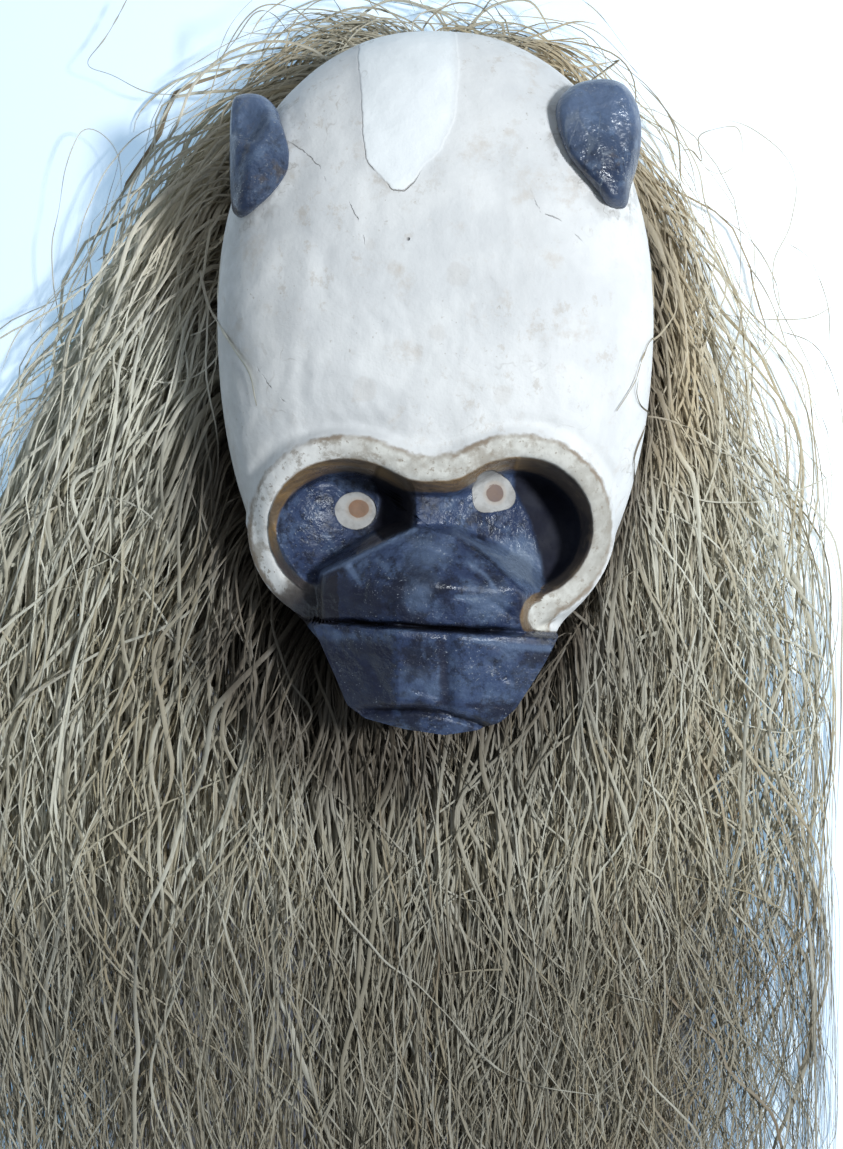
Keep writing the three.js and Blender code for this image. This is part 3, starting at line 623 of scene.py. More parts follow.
BEARD_GUIDES = [
    [(-46, -104), (-52, -130), (-53, -190), (-49, -300), (-45, -466)],
    [(-30, -116), (-33, -146), (-33, -210), (-30, -320), (-27, -468)],
    [(-12, -122), (-14, -152), (-14, -220), (-12, -330), (-10, -468)],
    [(10, -122), (11, -152), (11, -220), (9, -330), (8, -468)],
    [(30, -116), (33, -146), (33, -210), (30, -320), (27, -468)],
    [(46, -104), (51, -130), (53, -190), (50, -300), (45, -466)],
]
CROWN_GUIDES = [
    [(-26, 138), (-40, 154), (-60, 156), (-84, 140), (-104, 112), (-120, 74)],
    [(-14, 142), (-26, 160), (-48, 163), (-70, 152), (-90, 130), (-104, 100)],
    [(-4, 143), (-10, 158), (-26, 165), (-44, 162), (-58, 150), (-70, 134)],
    [(2, 143), (4, 160), (16, 166), (32, 162), (46, 152), (58, 138)],
    [(12, 142), (22, 160), (42, 161), (62, 148), (80, 126), (92, 98)],
    [(24, 138), (38, 153), (58, 151), (78, 132), (96, 102), (108, 66)],
]


def smooth_line(points, m):
    """A smooth curve through the points, as m evenly spaced places."""
    p = np.asarray(points, float)
    p = np.concatenate([[2 * p[0] - p[1]], p, [2 * p[-1] - p[-2]]])
    out = []
    for i in range(1, len(p) - 2):
        t = np.linspace(0, 1, 24, endpoint=False)[:, None]
        out.append(0.5 * (2 * p[i] + (p[i + 1] - p[i - 1]) * t + (2 * p[i - 1] - 5 * p[i] + 4 * p[i + 1] - p[i + 2]) * t**2
                          + (3 * p[i] - p[i - 1] - 3 * p[i + 1] + p[i + 2]) * t**3))
    q = np.concatenate(out + [p[-2:-1]])
    s = np.concatenate([[0], np.cumsum(np.linalg.norm(np.diff(q, axis=0), axis=1))])
    at = np.linspace(0, s[-1], m)
    return np.stack([np.interp(at, s, q[:, k]) for k in range(p.shape[1])], 1), s[-1]


def wander(rng, n, s, wavelength):
    """Smooth random values along each of n strands, about -1 to 1."""
    knots = rng.normal(0, 0.6, (n, int(s.max() / (wavelength / 2)) + 4))
    p = s / (wavelength / 2) + rng.random((n, 1))
    i = np.floor(p).astype(int)
    f = p - i
    f = f * f * (3 - 2 * f)
    rows = np.arange(n)[:, None]
    return knots[rows, i] * (1 - f) + knots[rows, i + 1] * f


def ribbons(paths, widths, lift, rng, twist=1.5):
    """Folded ribbons, two faces wide, along paths of (n, m, 3)."""
    n, m, _ = paths.shape
    tangent = np.gradient(paths, axis=1)
    tangent /= np.linalg.norm(tangent, axis=2, keepdims=True) + 1e-9
    up = np.broadcast_to([0.0, 0.0, 1.0], tangent.shape)
    side = np.cross(up, tangent)
    side /= np.linalg.norm(side, axis=2, keepdims=True) + 1e-9
    normal = np.cross(tangent, side)
    s = np.arange(m)[None, :] * 1.0
    angle = twist * wander(rng, n, np.broadcast_to(s, (n, m)), 16) + rng.normal(0, 0.5, (n, 1))
    ca, sa = np.cos(angle)[..., None], np.sin(angle)[..., None]
    flat, high = side * ca + normal * sa, normal * ca - side * sa
    w = (widths / 2)[..., None]
    a, b, c = paths - flat * w - high * w * 0.25, paths + high * w * lift, paths + flat * w - high * w * 0.25
    co = np.stack([a, b, c], 2)  # n, m, 3 places across, xyz
    co[..., 2] = np.maximum(co[..., 2], 0.4)
    base = (np.arange(n) * m)[:, None] + np.arange(m - 1)[None, :]
    base = base.reshape(-1) * 3
    quads = []
    for k in (0, 1):
        q0, q1, q2, q3 = base + k, base + k + 1, base + 3 + k + 1, base + 3 + k
        quads += [np.stack([q0, q1, q2], 1), np.stack([q0, q2, q3], 1)]
    return co.reshape(-1, 3), np.concatenate(quads)


def folded(u, top):
    """Values past either end of 0 to top are turned back in."""
    return top - np.abs(top - np.abs(u))


def mane(name, node, guides, count, seg, seed, per_clump=12, spread=1.0, heights=(38, 12), reach=330, cut=(0.8, 1.0), width=(0.55, 3.1), wilder=1.0, extra=(), inner=1.0, under_layer_shade=0.0, edge=1.0, calm=1.0):
    rng = np.random.default_rng(seed)
    m_guide = 160
    lines = [smooth_line(g, m_guide) for g in guides]
    G = np.stack([l[0] for l in lines])
    lengths = np.array([l[1] for l in lines])
    k = len(guides)
    clumps = max(2, count // per_clump)
    clump_u = ((np.arange(clumps) + rng.random(clumps)) / clumps) ** inner * (k - 1)
    which = rng.integers(0, clumps, count)
    u0 = folded(clump_u[which] + rng.normal(0, 0.22, count), k - 1.001)
    i0 = np.floor(u0).astype(int)
    length = lengths[i0] * (1 - u0 + i0) + lengths[i0 + 1] * (u0 - i0)
    part = rng.uniform(cut[0], cut[1], count)
    part = np.where((rng.random(count) < 0.12) & (cut[1] == 1), rng.uniform(0.3, 0.8, count), part)
    m = int(np.ceil(length.max() / seg)) + 1
    t = np.linspace(0, 1, m)[None, :] * part[:, None]
    crossing = rng.random(count) < 0.34 * wilder
    drift = np.where(crossing, rng.normal(0, 1.25, count), rng.normal(0, 0.35, count))[:, None]
    begin = rng.uniform(-0.1, 0.45, count)[:, None]
    u = folded(u0[:, None] + drift * step(0, 1, (t - begin) / 0.6), k - 1.001)
    i = np.floor(u).astype(int)
    f = (u - i)[..., None]
    at = t * (m_guide - 1)
    a = np.clip(np.floor(at).astype(int), 0, m_guide - 2)
    g = (at - a)[..., None]
    base = (G[i, a] * (1 - g) + G[i, a + 1] * g) * (1 - f) + (G[i + 1, a] * (1 - g) + G[i + 1, a + 1] * g) * f
    s = t * length[:, None]
    tangent = np.gradient(base, axis=1)
    tangent /= np.linalg.norm(tangent, axis=2, keepdims=True) + 1e-9
    across = np.stack([-tangent[..., 1], tangent[..., 0]], -1)
    grow = step(0, 80, s) * lerp(calm, 1, step(90, 300, s)) * lerp(lerp(0.7, 1, edge), 1, step(0.2, 1.6, u))
    rail = np.broadcast_to(np.linspace(0, length.max(), m)[None, :], (clumps, m))
    amp = np.exp(rng.normal(0, 0.40, count))[:, None] * wilder
    off = spread * grow * (8 * wander(rng, clumps, rail, 320)[which] + 6 * wander(rng, clumps, rail, 140)[which])
    off += spread * grow * amp * (12 * wander(rng, count, s, 300) + 10.5 * wander(rng, count, s, 150))
    off += (0.3 + 0.7 * grow) * amp * (4.4 * wander(rng, count, s, 82) + 0.8 * wander(rng, count, s, 36))
    off += rng.normal(0, 2.5, (count, 1))
    bent = rng.random(count) < 0.35
    where_bent, turn = rng.uniform(30, 0.85 * length, count)[:, None], (np.tan(rng.uniform(-0.6, 0.6, count)) * bent)[:, None]
    run = s - where_bent
    off += turn * smin(smax(run, 0, 8), np.broadcast_to(rng.uniform(20, 90, count)[:, None], run.shape), 10)
    curled = rng.random(count) < 0.09 * wilder
    size, wave = (rng.uniform(3, 12, count) * curled)[:, None], rng.uniform(60, 150, count)[:, None]
    theta = 2 * math.pi * (s - rng.uniform(20, 0.9 * length, count)[:, None]) / wave
    size = size * step(0, 1.5, theta) * step(13, 9, theta)
    off += size * (1 - np.cos(theta)) * np.sign(rng.normal(0, 1, (count, 1)))
    along_off = -size * np.sin(theta) * step(0, 60, s)
    xy = base + across * off[..., None] + tangent * along_off[..., None]
    layer = rng.beta(1.2, 1.15, count)[:, None]
    high = lerp(heights[0], heights[1], np.clip(s / reach, 0, 1) ** 1.1)
    high = lerp(6 + (high - 6) * edge, high, step(0.3, 2.4, u))
    z = 1.2 + (layer + 0.05 * wander(rng, count, s, 180)) * (high - 2.5) + 0.7 * wander(rng, count, s, 70)
    z = lerp(4 + 0.36 * heights[0] * layer, z, step(0, 34, s))
    z = np.clip(z, 0.8, high + 2.0)
    for _ in range(3):
        d = side_distance(xy[..., 0], xy[..., 1], z)
        out = xy - np.array([0, 15.0])
        out /= np.linalg.norm(out, axis=2, keepdims=True)
        need = np.where(s > 7, np.maximum(0, 1.0 + 1.2 * layer - d), np.maximum(0, -2.5 - d))
        xy = xy + out * need[..., None]
    x0 = xy[..., 0]
    x0 = np.where(x0 > 166, 166 + 26 * (1 - np.exp(-np.maximum(0, x0 - 166) / 26)), x0)
    xy[..., 0] = np.where(x0 < -196, -196 - 30 * (1 - np.exp(-np.maximum(0, -196 - x0) / 30)), x0)
    y0 = xy[..., 1]
    xy[..., 1] = np.where(y0 > 182, 182 + 16 * (1 - np.exp(-np.maximum(0, y0 - 182) / 16)), y0)
    paths = np.concatenate([xy, z[..., None]], -1)
    w0 = lerp(width[0], width[1], rng.beta(1.25, 2.2, count)) * np.where(rng.random(count) < 0.07, 1.7, 1)
    taper = step(1.0, 0.84, np.linspace(0, 1, m))[None, :]
    w = w0[:, None] * (0.85 + 0.2 * wander(rng, count, s, 70)) * (0.2 + 0.8 * taper) * lerp(1, 0.58, step(-120, -300, xy[..., 1])) * lerp(lerp(0.35, 1, edge), 1, step(0, 1.5, u))
    co, faces = ribbons(paths, np.maximum(w, 0.15), 0.3, rng, 1.15)
    # tone: random by strand and clump; strands higher in the pile are lighter and the lower layers are darkened,
    # painted shade for fibre lying deeper
    tone = np.clip(rng.normal(0.45, 0.13, count) + 0.13 * layer[:, 0] + rng.normal(0, 0.06, clumps)[which] - under_layer_shade, 0.12, 1)
    tones = np.repeat(np.broadcast_to(tone[:, None], (count, m)).reshape(-1), 3)
    along = np.repeat(s.reshape(-1), 3)
    hues = np.repeat(rng.random(count), 3 * m)
    if len(extra):
        more_co, more_faces, more_tones, more_along = loose(extra, rng)
        faces = np.concatenate([faces, more_faces + len(co)])
        co = np.concatenate([co, more_co])
        tones, along = np.concatenate([tones, more_tones]), np.concatenate([along, more_along])
        hues = np.concatenate([hues, np.full(len(more_co), 0.6)])
    ob = mesh_object(name, co, faces)
    x, y, z = co.T
    d = np.maximum(0, side_distance(x, y, z))
    # painted shade on the fibre where the mask's shadow falls: beside the head on the left, close to the head on the
    # right and under the chin; the fibre is also darker towards its lower ends
    painted_shade = np.where(x < 0, 1.3 * np.exp(-((d / lerp(12, 31, step(0, -50, y))) ** 2)) * step(24, -44, y), (0.85 * np.exp(-((d / 12) ** 2)) + 0.22 * np.exp(-d / 22)) * step(100, 50, y)) + lerp(1.3, 0.75, step(-50, 0, x)) * np.exp(-((d / 44) ** 2)) * step(-90, -125, y)
    painted_shade = painted_shade + 0.44 * step(-205, -262, y) + 0.12 * step(70, 40, np.abs(x)) * step(-110, -160, y)
    painted_shade = painted_shade + 0.75 * gauss(np.hypot((x - 101) / 8, (y - 56) / 30), 1) * step(34, 20, z)
    painted_shade = np.where(z > 50, painted_shade * lerp(0.4, 1.0, step(10, -50, y)), painted_shade)
    set_attribute(ob, "painted_shade", np.clip(painted_shade, 0, 1))
    # regional tone changes; the lifts left of the head and at the upper left are painted light where the head's shadow
    # falls on the fibre
    tones = np.clip(tones + (1 - under_layer_shade) * (0.05 * step(80, 100, x) * step(-170, -70, y) - 0.09 * step(40, 80, x) * step(-150, -200, y) + 0.12 * step(-150, -185, x) + 0.22 * gauss(np.hypot((x + 108) / 22, (y - 18) / 30), 1) + 0.22 * step(-60, -110, x) * step(-110, -20, y) + 0.55 * (0.3 + 1.3 * tones) * gauss(np.hypot(x + 118, (y - 82) * 0.7), 46)), 0, 1.3)
    set_attribute(ob, "warm", np.where(x > 0, (step(50, 8, d) + 0.35) * step(30, 60, x) * step(-70, -10, y), 0.8 * step(62, 20, d) * step(10, 70, y) * step(-50, -75, x)))
    set_attribute(ob, "tone", tones)
    set_attribute(ob, "hue", hues)
    set_attribute(ob, "along", along)
    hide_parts(node)
    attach(ob, "root")
    return ob


def loose(lines, rng):
    """Single stray strands along given lines: (width, tone, [(x, y, z), ...])."""
    m = 72
    paths = np.stack([smooth_line(l[2], m)[0] for l in lines])
    lengths = np.array([smooth_line(l[2], m)[1] for l in lines])
    s = np.linspace(0, 1, m)[None, :] * lengths[:, None]
    paths[..., :2] += (np.stack([wander(rng, len(lines), s, 34), wander(rng, len(lines), s, 34)], -1)) * 0.7
    x, y = paths[..., 0], paths[..., 1]
    top = np.where(y > -120, lerp(56, 44, np.clip((120 - y) / 240, 0, 1)), lerp(44, 16, np.clip((-120 - y) / 260, 0, 1)))
    top = top * lerp(1, 0.72, step(-40, 40, x)) * lerp(1, 0.3, step(0.6, 1.0, np.abs(x + 6) / lerp(112, 195, step(140, -60, y))))
    rise = step(0.25, 0.75, np.array([l[0] for l in lines]))[:, None]
    paths[..., 2] = np.maximum(lerp(paths[..., 2], np.maximum(paths[..., 2], top), rise), 0.8)
    on_head = side_distance(x, y, np.full(x.shape, 60.0)) < 1
    paths[..., 2] = np.where(on_head, np.maximum(paths[..., 2], front_height(x, y) + 1.6), paths[..., 2])
    w = np.array([0.8 * l[0] for l in lines])[:, None] * (0.35 + 0.65 * step(1, 0.8, s / lengths[:, None])) * step(-0.02, 0.06, s / lengths[:, None])
    co, faces = ribbons(paths, np.maximum(w, 0.12), 0.35, rng, 1.4)
    tone = np.repeat(np.broadcast_to(np.array([0.42 + 0.55 * l[1] for l in lines])[:, None], (len(lines), m)).reshape(-1), 3)
    return co, faces, tone, np.repeat(s.reshape(-1), 3)


# ---------------------------------------------------------------- materials
class Nodes:
    """A short way to write a material's nodes."""

    def __init__(self, name, **shader):
        self.material = bpy.data.materials.new(name)
        self.material.use_nodes = True
        self.tree = self.material.node_tree
        self.tree.nodes.clear()
        self.out = self.tree.nodes.new("ShaderNodeOutputMaterial")
        self.bsdf = self.tree.nodes.new("ShaderNodeBsdfPrincipled")
        self.tree.links.new(self.bsdf.outputs[0], self.out.inputs[0])
        for k, v in shader.items():
            self.bsdf.inputs[k.replace("_", " ")].default_value = v
        self.where = self.tree.nodes.new("ShaderNodeTexCoord").outputs["Object"]

    def put(self, socket, value):
        if isinstance(value, bpy.types.NodeSocket):
            self.tree.links.new(value, socket)
        elif isinstance(value, (tuple, list)) and len(value) == 3 and socket.type == "RGBA":
            socket.default_value = (*value, 1)
        else:
            socket.default_value = value

    def math(self, op, a, b=None, c=None):
        n = self.tree.nodes.new("ShaderNodeMath")
        n.operation = op
        for i, v in enumerate((a, b, c)):
            if v is not None:
                self.put(n.inputs[i], v)
        return n.outputs[0]

    def add(self, a, b): return self.math("ADD", a, b)
    def sub(self, a, b): return self.math("SUBTRACT", a, b)
    def mul(self, a, b): return self.math("MULTIPLY", a, b)
    def least(self, a, b): return self.math("MINIMUM", a, b)
    def most(self, a, b): return self.math("MAXIMUM", a, b)
    def size(self, a): return self.math("ABSOLUTE", a)

    def ramp(self, x, lo, hi, a=0.0, b=1.0, smooth=True):
        n = self.tree.nodes.new("ShaderNodeMapRange")
        n.interpolation_type = "SMOOTHSTEP" if smooth else "LINEAR"
        self.put(n.inputs["Value"], x)
        if hi < lo:
            lo, hi, a, b = hi, lo, b, a
        for k, v in (("From Min", lo), ("From Max", hi), ("To Min", a), ("To Max", b)):
            n.inputs[k].default_value = v
        return n.outputs["Result"]

    def attr(self, name):
        n = self.tree.nodes.new("ShaderNodeAttribute")
        n.attribute_name = name
        return n.outputs["Fac"]

    def mix(self, fac, a, b):
        n = self.tree.nodes.new("ShaderNodeMix")
        n.data_type = "RGBA"
        self.put(n.inputs[0], fac)
        self.put(n.inputs[6], a)
        self.put(n.inputs[7], b)
        return n.outputs[2]

    def mapped(self, scale=(1, 1, 1), turn=(0, 0, 0), move=(0, 0, 0)):
        n = self.tree.nodes.new("ShaderNodeMapping")
        self.put(n.inputs["Vector"], self.where)
        n.inputs["Scale"].default_value = scale
        n.inputs["Rotation"].default_value = turn
        n.inputs["Location"].default_value = move
        return n.outputs[0]

    def noise(self, scale, detail=3.0, rough=0.55, vector=None, distortion=0.0):
        n = self.tree.nodes.new("ShaderNodeTexNoise")
        self.put(n.inputs["Vector"], vector or self.where)
        n.inputs["Scale"].default_value = scale
        n.inputs["Detail"].default_value = detail
        n.inputs["Roughness"].default_value = rough
        n.inputs["Distortion"].default_value = distortion
        return n.outputs["Fac"]

    def cells(self, scale, feature="F1", vector=None, randomness=1.0, out="Distance"):
        n = self.tree.nodes.new("ShaderNodeTexVoronoi")
        n.feature = feature
        self.put(n.inputs["Vector"], vector or self.where)
        n.inputs["Scale"].default_value = scale
        n.inputs["Randomness"].default_value = randomness
        return n.outputs[out]

    def wave(self, scale, distortion, detail, vector=None, detail_scale=1.0):
        n = self.tree.nodes.new("ShaderNodeTexWave")
        self.put(n.inputs["Vector"], vector or self.where)
        n.inputs["Scale"].default_value = scale
        n.inputs["Distortion"].default_value = distortion
        n.inputs["Detail"].default_value = detail
        n.inputs["Detail Scale"].default_value = detail_scale
        return n.outputs["Fac"]

    def distance_to(self, x, y, z, stretch=1.0):
        """Distance in millimetres from a place given in the mask's own plan."""
        n = self.tree.nodes.new("ShaderNodeVectorMath")
        n.operation = "DISTANCE"
        self.put(n.inputs[0], self.where)
        n.inputs[1].default_value = ((x + 18) / 1000, (y + 145) / 1000, z / 1000)
        return self.mul(n.outputs["Value"], 1000.0)

    def finish(self, colour, rough=None, height=None):
        self.put(self.bsdf.inputs["Base Color"], colour)
        if rough is not None:
            self.put(self.bsdf.inputs["Roughness"], rough)
        if height is not None:
            n = self.tree.nodes.new("ShaderNodeBump")
            n.inputs["Strength"].default_value = 1.0
            n.inputs["Distance"].default_value = 0.001  # heights are in millimetres
            self.put(n.inputs["Height"], height)
            self.tree.links.new(n.outputs[0], self.bsdf.inputs["Normal"])
        return self.material


def mask_material():
    k = Nodes("painted_wood", Specular_IOR_Level=0.4)
    fine, mid, broad = k.noise(900, 2), k.noise(150, 4), k.noise(26, 4)
    wob = k.mul(k.sub(k.noise(220, 3), 0.5), 1.0)
    # white ground on the skull
    white = k.mix(k.ramp(broad, 0.38, 0.66), (0.82, 0.815, 0.80), (0.71, 0.71, 0.705))
    streak = k.noise(40, 5, 0.6, k.mapped((1.0, 0.32, 1.0)))
    white = k.mix(k.ramp(streak, 0.5, 0.72, 0, 0.45), white, (0.64, 0.635, 0.625))
    tan = k.noise(58, 6, 0.7, k.mapped(move=(3, 1, 2)))
    white = k.mix(k.ramp(tan, 0.54, 0.74, 0, 0.6), white, (0.60, 0.53, 0.455))
    thin = k.noise(130, 6, 0.75, k.mapped((1.0, 0.8, 1.0), move=(8, 1, 3)))
    white = k.mix(k.mul(k.ramp(thin, 0.56, 0.66, 0, 0.5), k.ramp(k.noise(17, 3, 0.5, k.mapped(move=(2, 4, 9))), 0.42, 0.58)), white, (0.56, 0.50, 0.43))
    speck = k.noise(520, 2, 0.5, k.mapped(move=(7, 2, 5)))
    white = k.mix(k.mul(k.ramp(speck, 0.67, 0.75, 0, 0.55), k.ramp(k.noise(30, 2), 0.46, 0.64)), white, (0.42, 0.37, 0.31))
    for x, y, z, r in ((8.6, 36.0, 121, 4.4), (-28.8, -9.1, 115, 4.8), (26.9, -11.5, 115, 4.0), (0.2, 13.3, 120, 3.2), (-26.3, 48.3, 119, 2.4), (-17, 39, 120, 3.0), (-46, 22, 112, 3.2), (40, 10, 112, 4.2)):
        far = k.add(k.distance_to(x, y, z), k.mul(wob, 3.2))
        ring = k.mul(k.ramp(far, r - 1.3, r), k.ramp(far, r + 1.1, r))
        stain = k.add(k.mul(ring, 0.10), k.ramp(far, r + 0.6, r - 1.5, 0, 0.16))
        white = k.mix(stain, white, (0.45, 0.37, 0.29))
    web = k.size(k.sub(k.noise(34, 3, 0.55, k.mapped(move=(6, 2, 5))), 0.5))
    lines = k.mul(k.ramp(web, 0.008, 0.002), k.ramp(k.noise(22, 3, 0.5, k.mapped(move=(1, 9, 4))), 0.50, 0.64))
    lines = k.mul(lines, k.ramp(mid, 0.42, 0.6))
    # cracks that are drawn in: the filler's edge, the ones on the brow, and round the roots of the ears
    patch = k.add(k.attr("patch_s"), k.mul(wob, 1.6))
    xyz = k.tree.nodes.new("ShaderNodeSeparateXYZ")
    k.put(xyz.inputs[0], k.where)
    lower_left = k.ramp(k.sub(xyz.outputs["X"], k.mul(k.sub(xyz.outputs["Y"], 0.216), -0.25)), 0.016, 0.006)
    soft_side = k.sub(1.0, lower_left)
    fill = k.add(k.mul(k.ramp(patch, -0.2, 0.5), lower_left), k.mul(k.ramp(k.add(patch, k.mul(k.sub(broad, 0.5), 8)), -3, 4), soft_side))
    white = k.mix(fill, white, k.mix(k.ramp(broad, 0.4, 0.62), (0.97, 0.99, 0.985), (0.93, 0.95, 0.95)))
    patch_crack = k.mul(k.ramp(k.size(k.add(patch, 0.35)), 0.34, 0.08), k.mul(lower_left, k.ramp(k.noise(60, 2), 0.36, 0.46)))
    crack = k.mul(k.ramp(k.size(k.add(k.attr("crack_s"), k.mul(wob, 3.4))), 0.30, 0.06), k.mul(k.attr("crack_m"), k.ramp(k.noise(160, 3), 0.42, 0.56)))
    near_ear = k.ramp(k.add(k.attr("ear_d"), k.mul(wob, 6)), 9, 2)
    ear_web = k.size(k.sub(k.noise(150, 2, 0.5, k.mapped(move=(1, 2, 5))), 0.5))
    ear_crack = k.mul(k.ramp(ear_web, 0.024, 0.006), k.mul(near_ear, k.ramp(mid, 0.46, 0.56)))
    white = k.mix(k.mul(near_ear, k.ramp(mid, 0.44, 0.62, 0, 0.55)), white, (0.47, 0.45, 0.42))
    white = k.mix(k.mul(lines, 0.35), white, (0.42, 0.38, 0.34))
    # painted shade: the left side of the skull, away from the light, greyer in patches
    left_side_shade = k.mul(k.ramp(xyz.outputs["X"], -0.030, -0.074), k.ramp(k.noise(110, 5, 0.65, k.mapped(move=(3, 1, 6))), 0.36, 0.64, 0.35, 1.0))
    white = k.mix(k.mul(left_side_shade, 0.42), white, (0.50, 0.495, 0.46))
    tip = k.ramp(k.distance_to(-17, 73, 121), 22, 7, 0.22, 1.0)
    white = k.mix(k.mul(k.most(k.most(k.mul(patch_crack, tip), k.mul(crack, 0.7)), k.mul(ear_crack, 0.6)), 0.6), white, (0.25, 0.21, 0.175))
    dot = k.ramp(k.add(k.distance_to(-11.4, 50.5, 122), k.mul(wob, 1.8)), 1.0, 0.4)
    white = k.mix(k.mul(dot, 0.7), white, (0.13, 0.11, 0.10))
    # the rim: cream, dirtier, rubbed on its outer edge, and with painted shade on its right part
    edge_dirt = k.ramp(k.size(k.sub(k.add(k.attr("open_d"), k.mul(wob, 4)), 3.2)), 1.8, 0.2)
    cream = k.mix(k.ramp(mid, 0.36, 0.62), (0.71, 0.69, 0.63), (0.54, 0.515, 0.46))
    cream = k.mix(k.ramp(xyz.outputs["X"], 0.0, -0.045, 0, 0.9), cream, (0.93, 0.91, 0.87))
    cream = k.mix(k.ramp(k.noise(75, 5, 0.65, k.mapped(move=(2, 2, 8))), 0.50, 0.64, 0, 0.8), cream, (0.40, 0.355, 0.295))
    cream = k.mix(k.ramp(k.noise(190, 5, 0.7, k.mapped(move=(9, 2, 8))), 0.55, 0.68, 0, 0.65), cream, (0.28, 0.225, 0.165))
    cream = k.mix(k.ramp(speck, 0.65, 0.72, 0, 0.6), cream, (0.24, 0.17, 0.11))
    # painted shade on the right part of the rim, which faces away from the light
    cream = k.mix(k.ramp(xyz.outputs["X"], 0.055, 0.095, 0, 0.55), cream, (0.33, 0.30, 0.255))
    out = k.add(k.attr("outline_d"), k.mul(wob, 3))
    skull = k.ramp(k.add(k.attr("open_d"), k.mul(wob, 3)), 3.0, 4.2)
    colour = k.mix(skull, cream, white)
    colour = k.mix(k.mul(edge_dirt, k.ramp(k.noise(48, 4, 0.6, k.mapped(move=(6, 3, 1))), 0.36, 0.56, 0.15, 0.9)), colour, (0.27, 0.205, 0.145))
    # brown line on the inner edge of the rim, with painted shade on its right part and its lower left end, then the
    # dark face
    ring = k.add(k.attr("ring_s"), k.mul(wob, 0.9))
    cut = k.add(k.attr("cut_s"), k.mul(wob, 0.5))
    ochre = k.mix(k.ramp(k.noise(34, 3), 0.40, 0.58), (0.275, 0.170, 0.075), (0.150, 0.105, 0.066))
    # painted shade: the brown line goes darker and greyer on the right, where it faces away from the light
    brown_in_shade = k.mix(k.ramp(k.noise(34, 3), 0.40, 0.58), (0.130, 0.100, 0.078), (0.060, 0.050, 0.050))
    brown = k.mix(k.ramp(k.add(xyz.outputs["X"], k.mul(wob, 0.004)), 0.045, 0.068), ochre, brown_in_shade)
    brown = k.mix(k.ramp(mid, 0.50, 0.7, 0, 0.35), brown, (0.31, 0.235, 0.145))
    # painted shade at the lower left end of the brown line, in the muzzle's shadow
    brown = k.mix(k.mul(k.ramp(xyz.outputs["Y"], 0.082, 0.064), k.ramp(xyz.outputs["X"], 0.0, -0.01)), brown, (0.075, 0.062, 0.060))
    blue = k.mix(k.ramp(broad, 0.36, 0.64), (0.029, 0.043, 0.094), (0.050, 0.074, 0.146))
    blue = k.mix(k.ramp(k.noise(95, 5, 0.65), 0.47, 0.66, 0, 0.85), blue, (0.086, 0.124, 0.206))
    blue = k.mix(k.ramp(k.noise(46, 5, 0.7, k.mapped(move=(5, 5, 1))), 0.48, 0.60, 0, 0.88), blue, (0.015, 0.017, 0.031))
    blue = k.mix(k.ramp(k.noise(240, 5, 0.7, k.mapped(move=(1, 7, 2))), 0.50, 0.64, 0, 0.7), blue, (0.013, 0.015, 0.025))
    # painted light and shade on the face, from the pale attribute: lighter ridges, facets and cheeks, darker facets and
    # creases
    pale = k.add(k.attr("pale"), k.mul(k.sub(mid, 0.5), 0.9))
    blue = k.mix(k.ramp(pale, 0.05, 0.85, 0, 0.8), blue, (0.118, 0.165, 0.262))
    blue = k.mix(k.ramp(pale, -0.05, -0.7, 0, 0.85), blue, (0.016, 0.018, 0.036))
    # the lightest of these marks: light scraped spots, and painted highlights along lit edges and cheeks
    scrapes_and_highlights = k.add(pale, k.mul(k.sub(k.noise(330, 4, 0.7, k.mapped((1.0, 0.5, 1.0), (0, 0, 0.5))), 0.5), 3.2))
    blue = k.mix(k.ramp(scrapes_and_highlights, 1.05, 1.8, 0, 0.65), blue, (0.215, 0.265, 0.345))
    # painted shadow: the deepest parts of both eye hollows are near black, matte and smoother
    painted_shadow = k.ramp(k.add(k.attr("painted_shadow"), k.mul(wob, 1.5)), -1.0, 1.2)
    blue = k.mix(k.mul(painted_shadow, 0.96), blue, (0.0095, 0.0098, 0.019))
    # light specks: dust, and painted glints
    dust_and_glints = k.mul(k.ramp(k.noise(1100, 2, 0.6), 0.63, 0.71), k.ramp(k.noise(60, 3), 0.42, 0.6))
    blue = k.mix(k.mul(k.mul(dust_and_glints, 0.75), k.sub(1.0, painted_shadow)), blue, (0.30, 0.33, 0.37))
    # painted shade: near black in the mouth slit and in the crease under the lower lip
    blue = k.mix(k.ramp(k.add(k.attr("slit_s"), k.mul(wob, 0.8)), 1.5, 0.5, 0, 0.9), blue, (0.008, 0.008, 0.014))
    blue = k.mix(k.ramp(k.add(k.attr("lip_s"), k.mul(wob, 1.0)), 1.6, 0.5, 0, 0.8), blue, (0.008, 0.008, 0.014))
    face = k.mix(k.ramp(ring, -4.2, -3.2), blue, brown)
    face = k.mix(k.ramp(cut, 0.3, -0.5), face, blue)
    # painted shade at the lower left end of the rim, in the muzzle's shadow: the cream goes dark brown, and past its
    # end the face is near black
    is_light = k.mul(k.mul(k.ramp(ring, -0.5, 0.5), k.ramp(cut, -0.3, 0.5)), k.ramp(k.add(k.attr("left_end"), k.mul(wob, 3)), 9, 4))
    left_end_shade = k.ramp(k.add(k.attr("left_end"), k.mul(wob, 5)), -5, 5, 0, 0.95)
    colour = k.mix(is_light, face, k.mix(left_end_shade, colour, (0.085, 0.070, 0.062)))
    deep = k.mul(k.ramp(k.add(k.attr("left_end"), k.mul(wob, 3)), 7, 11), k.ramp(cut, -0.5, 0.2))
    colour = k.mix(k.mul(deep, 0.9), colour, (0.019, 0.018, 0.025))
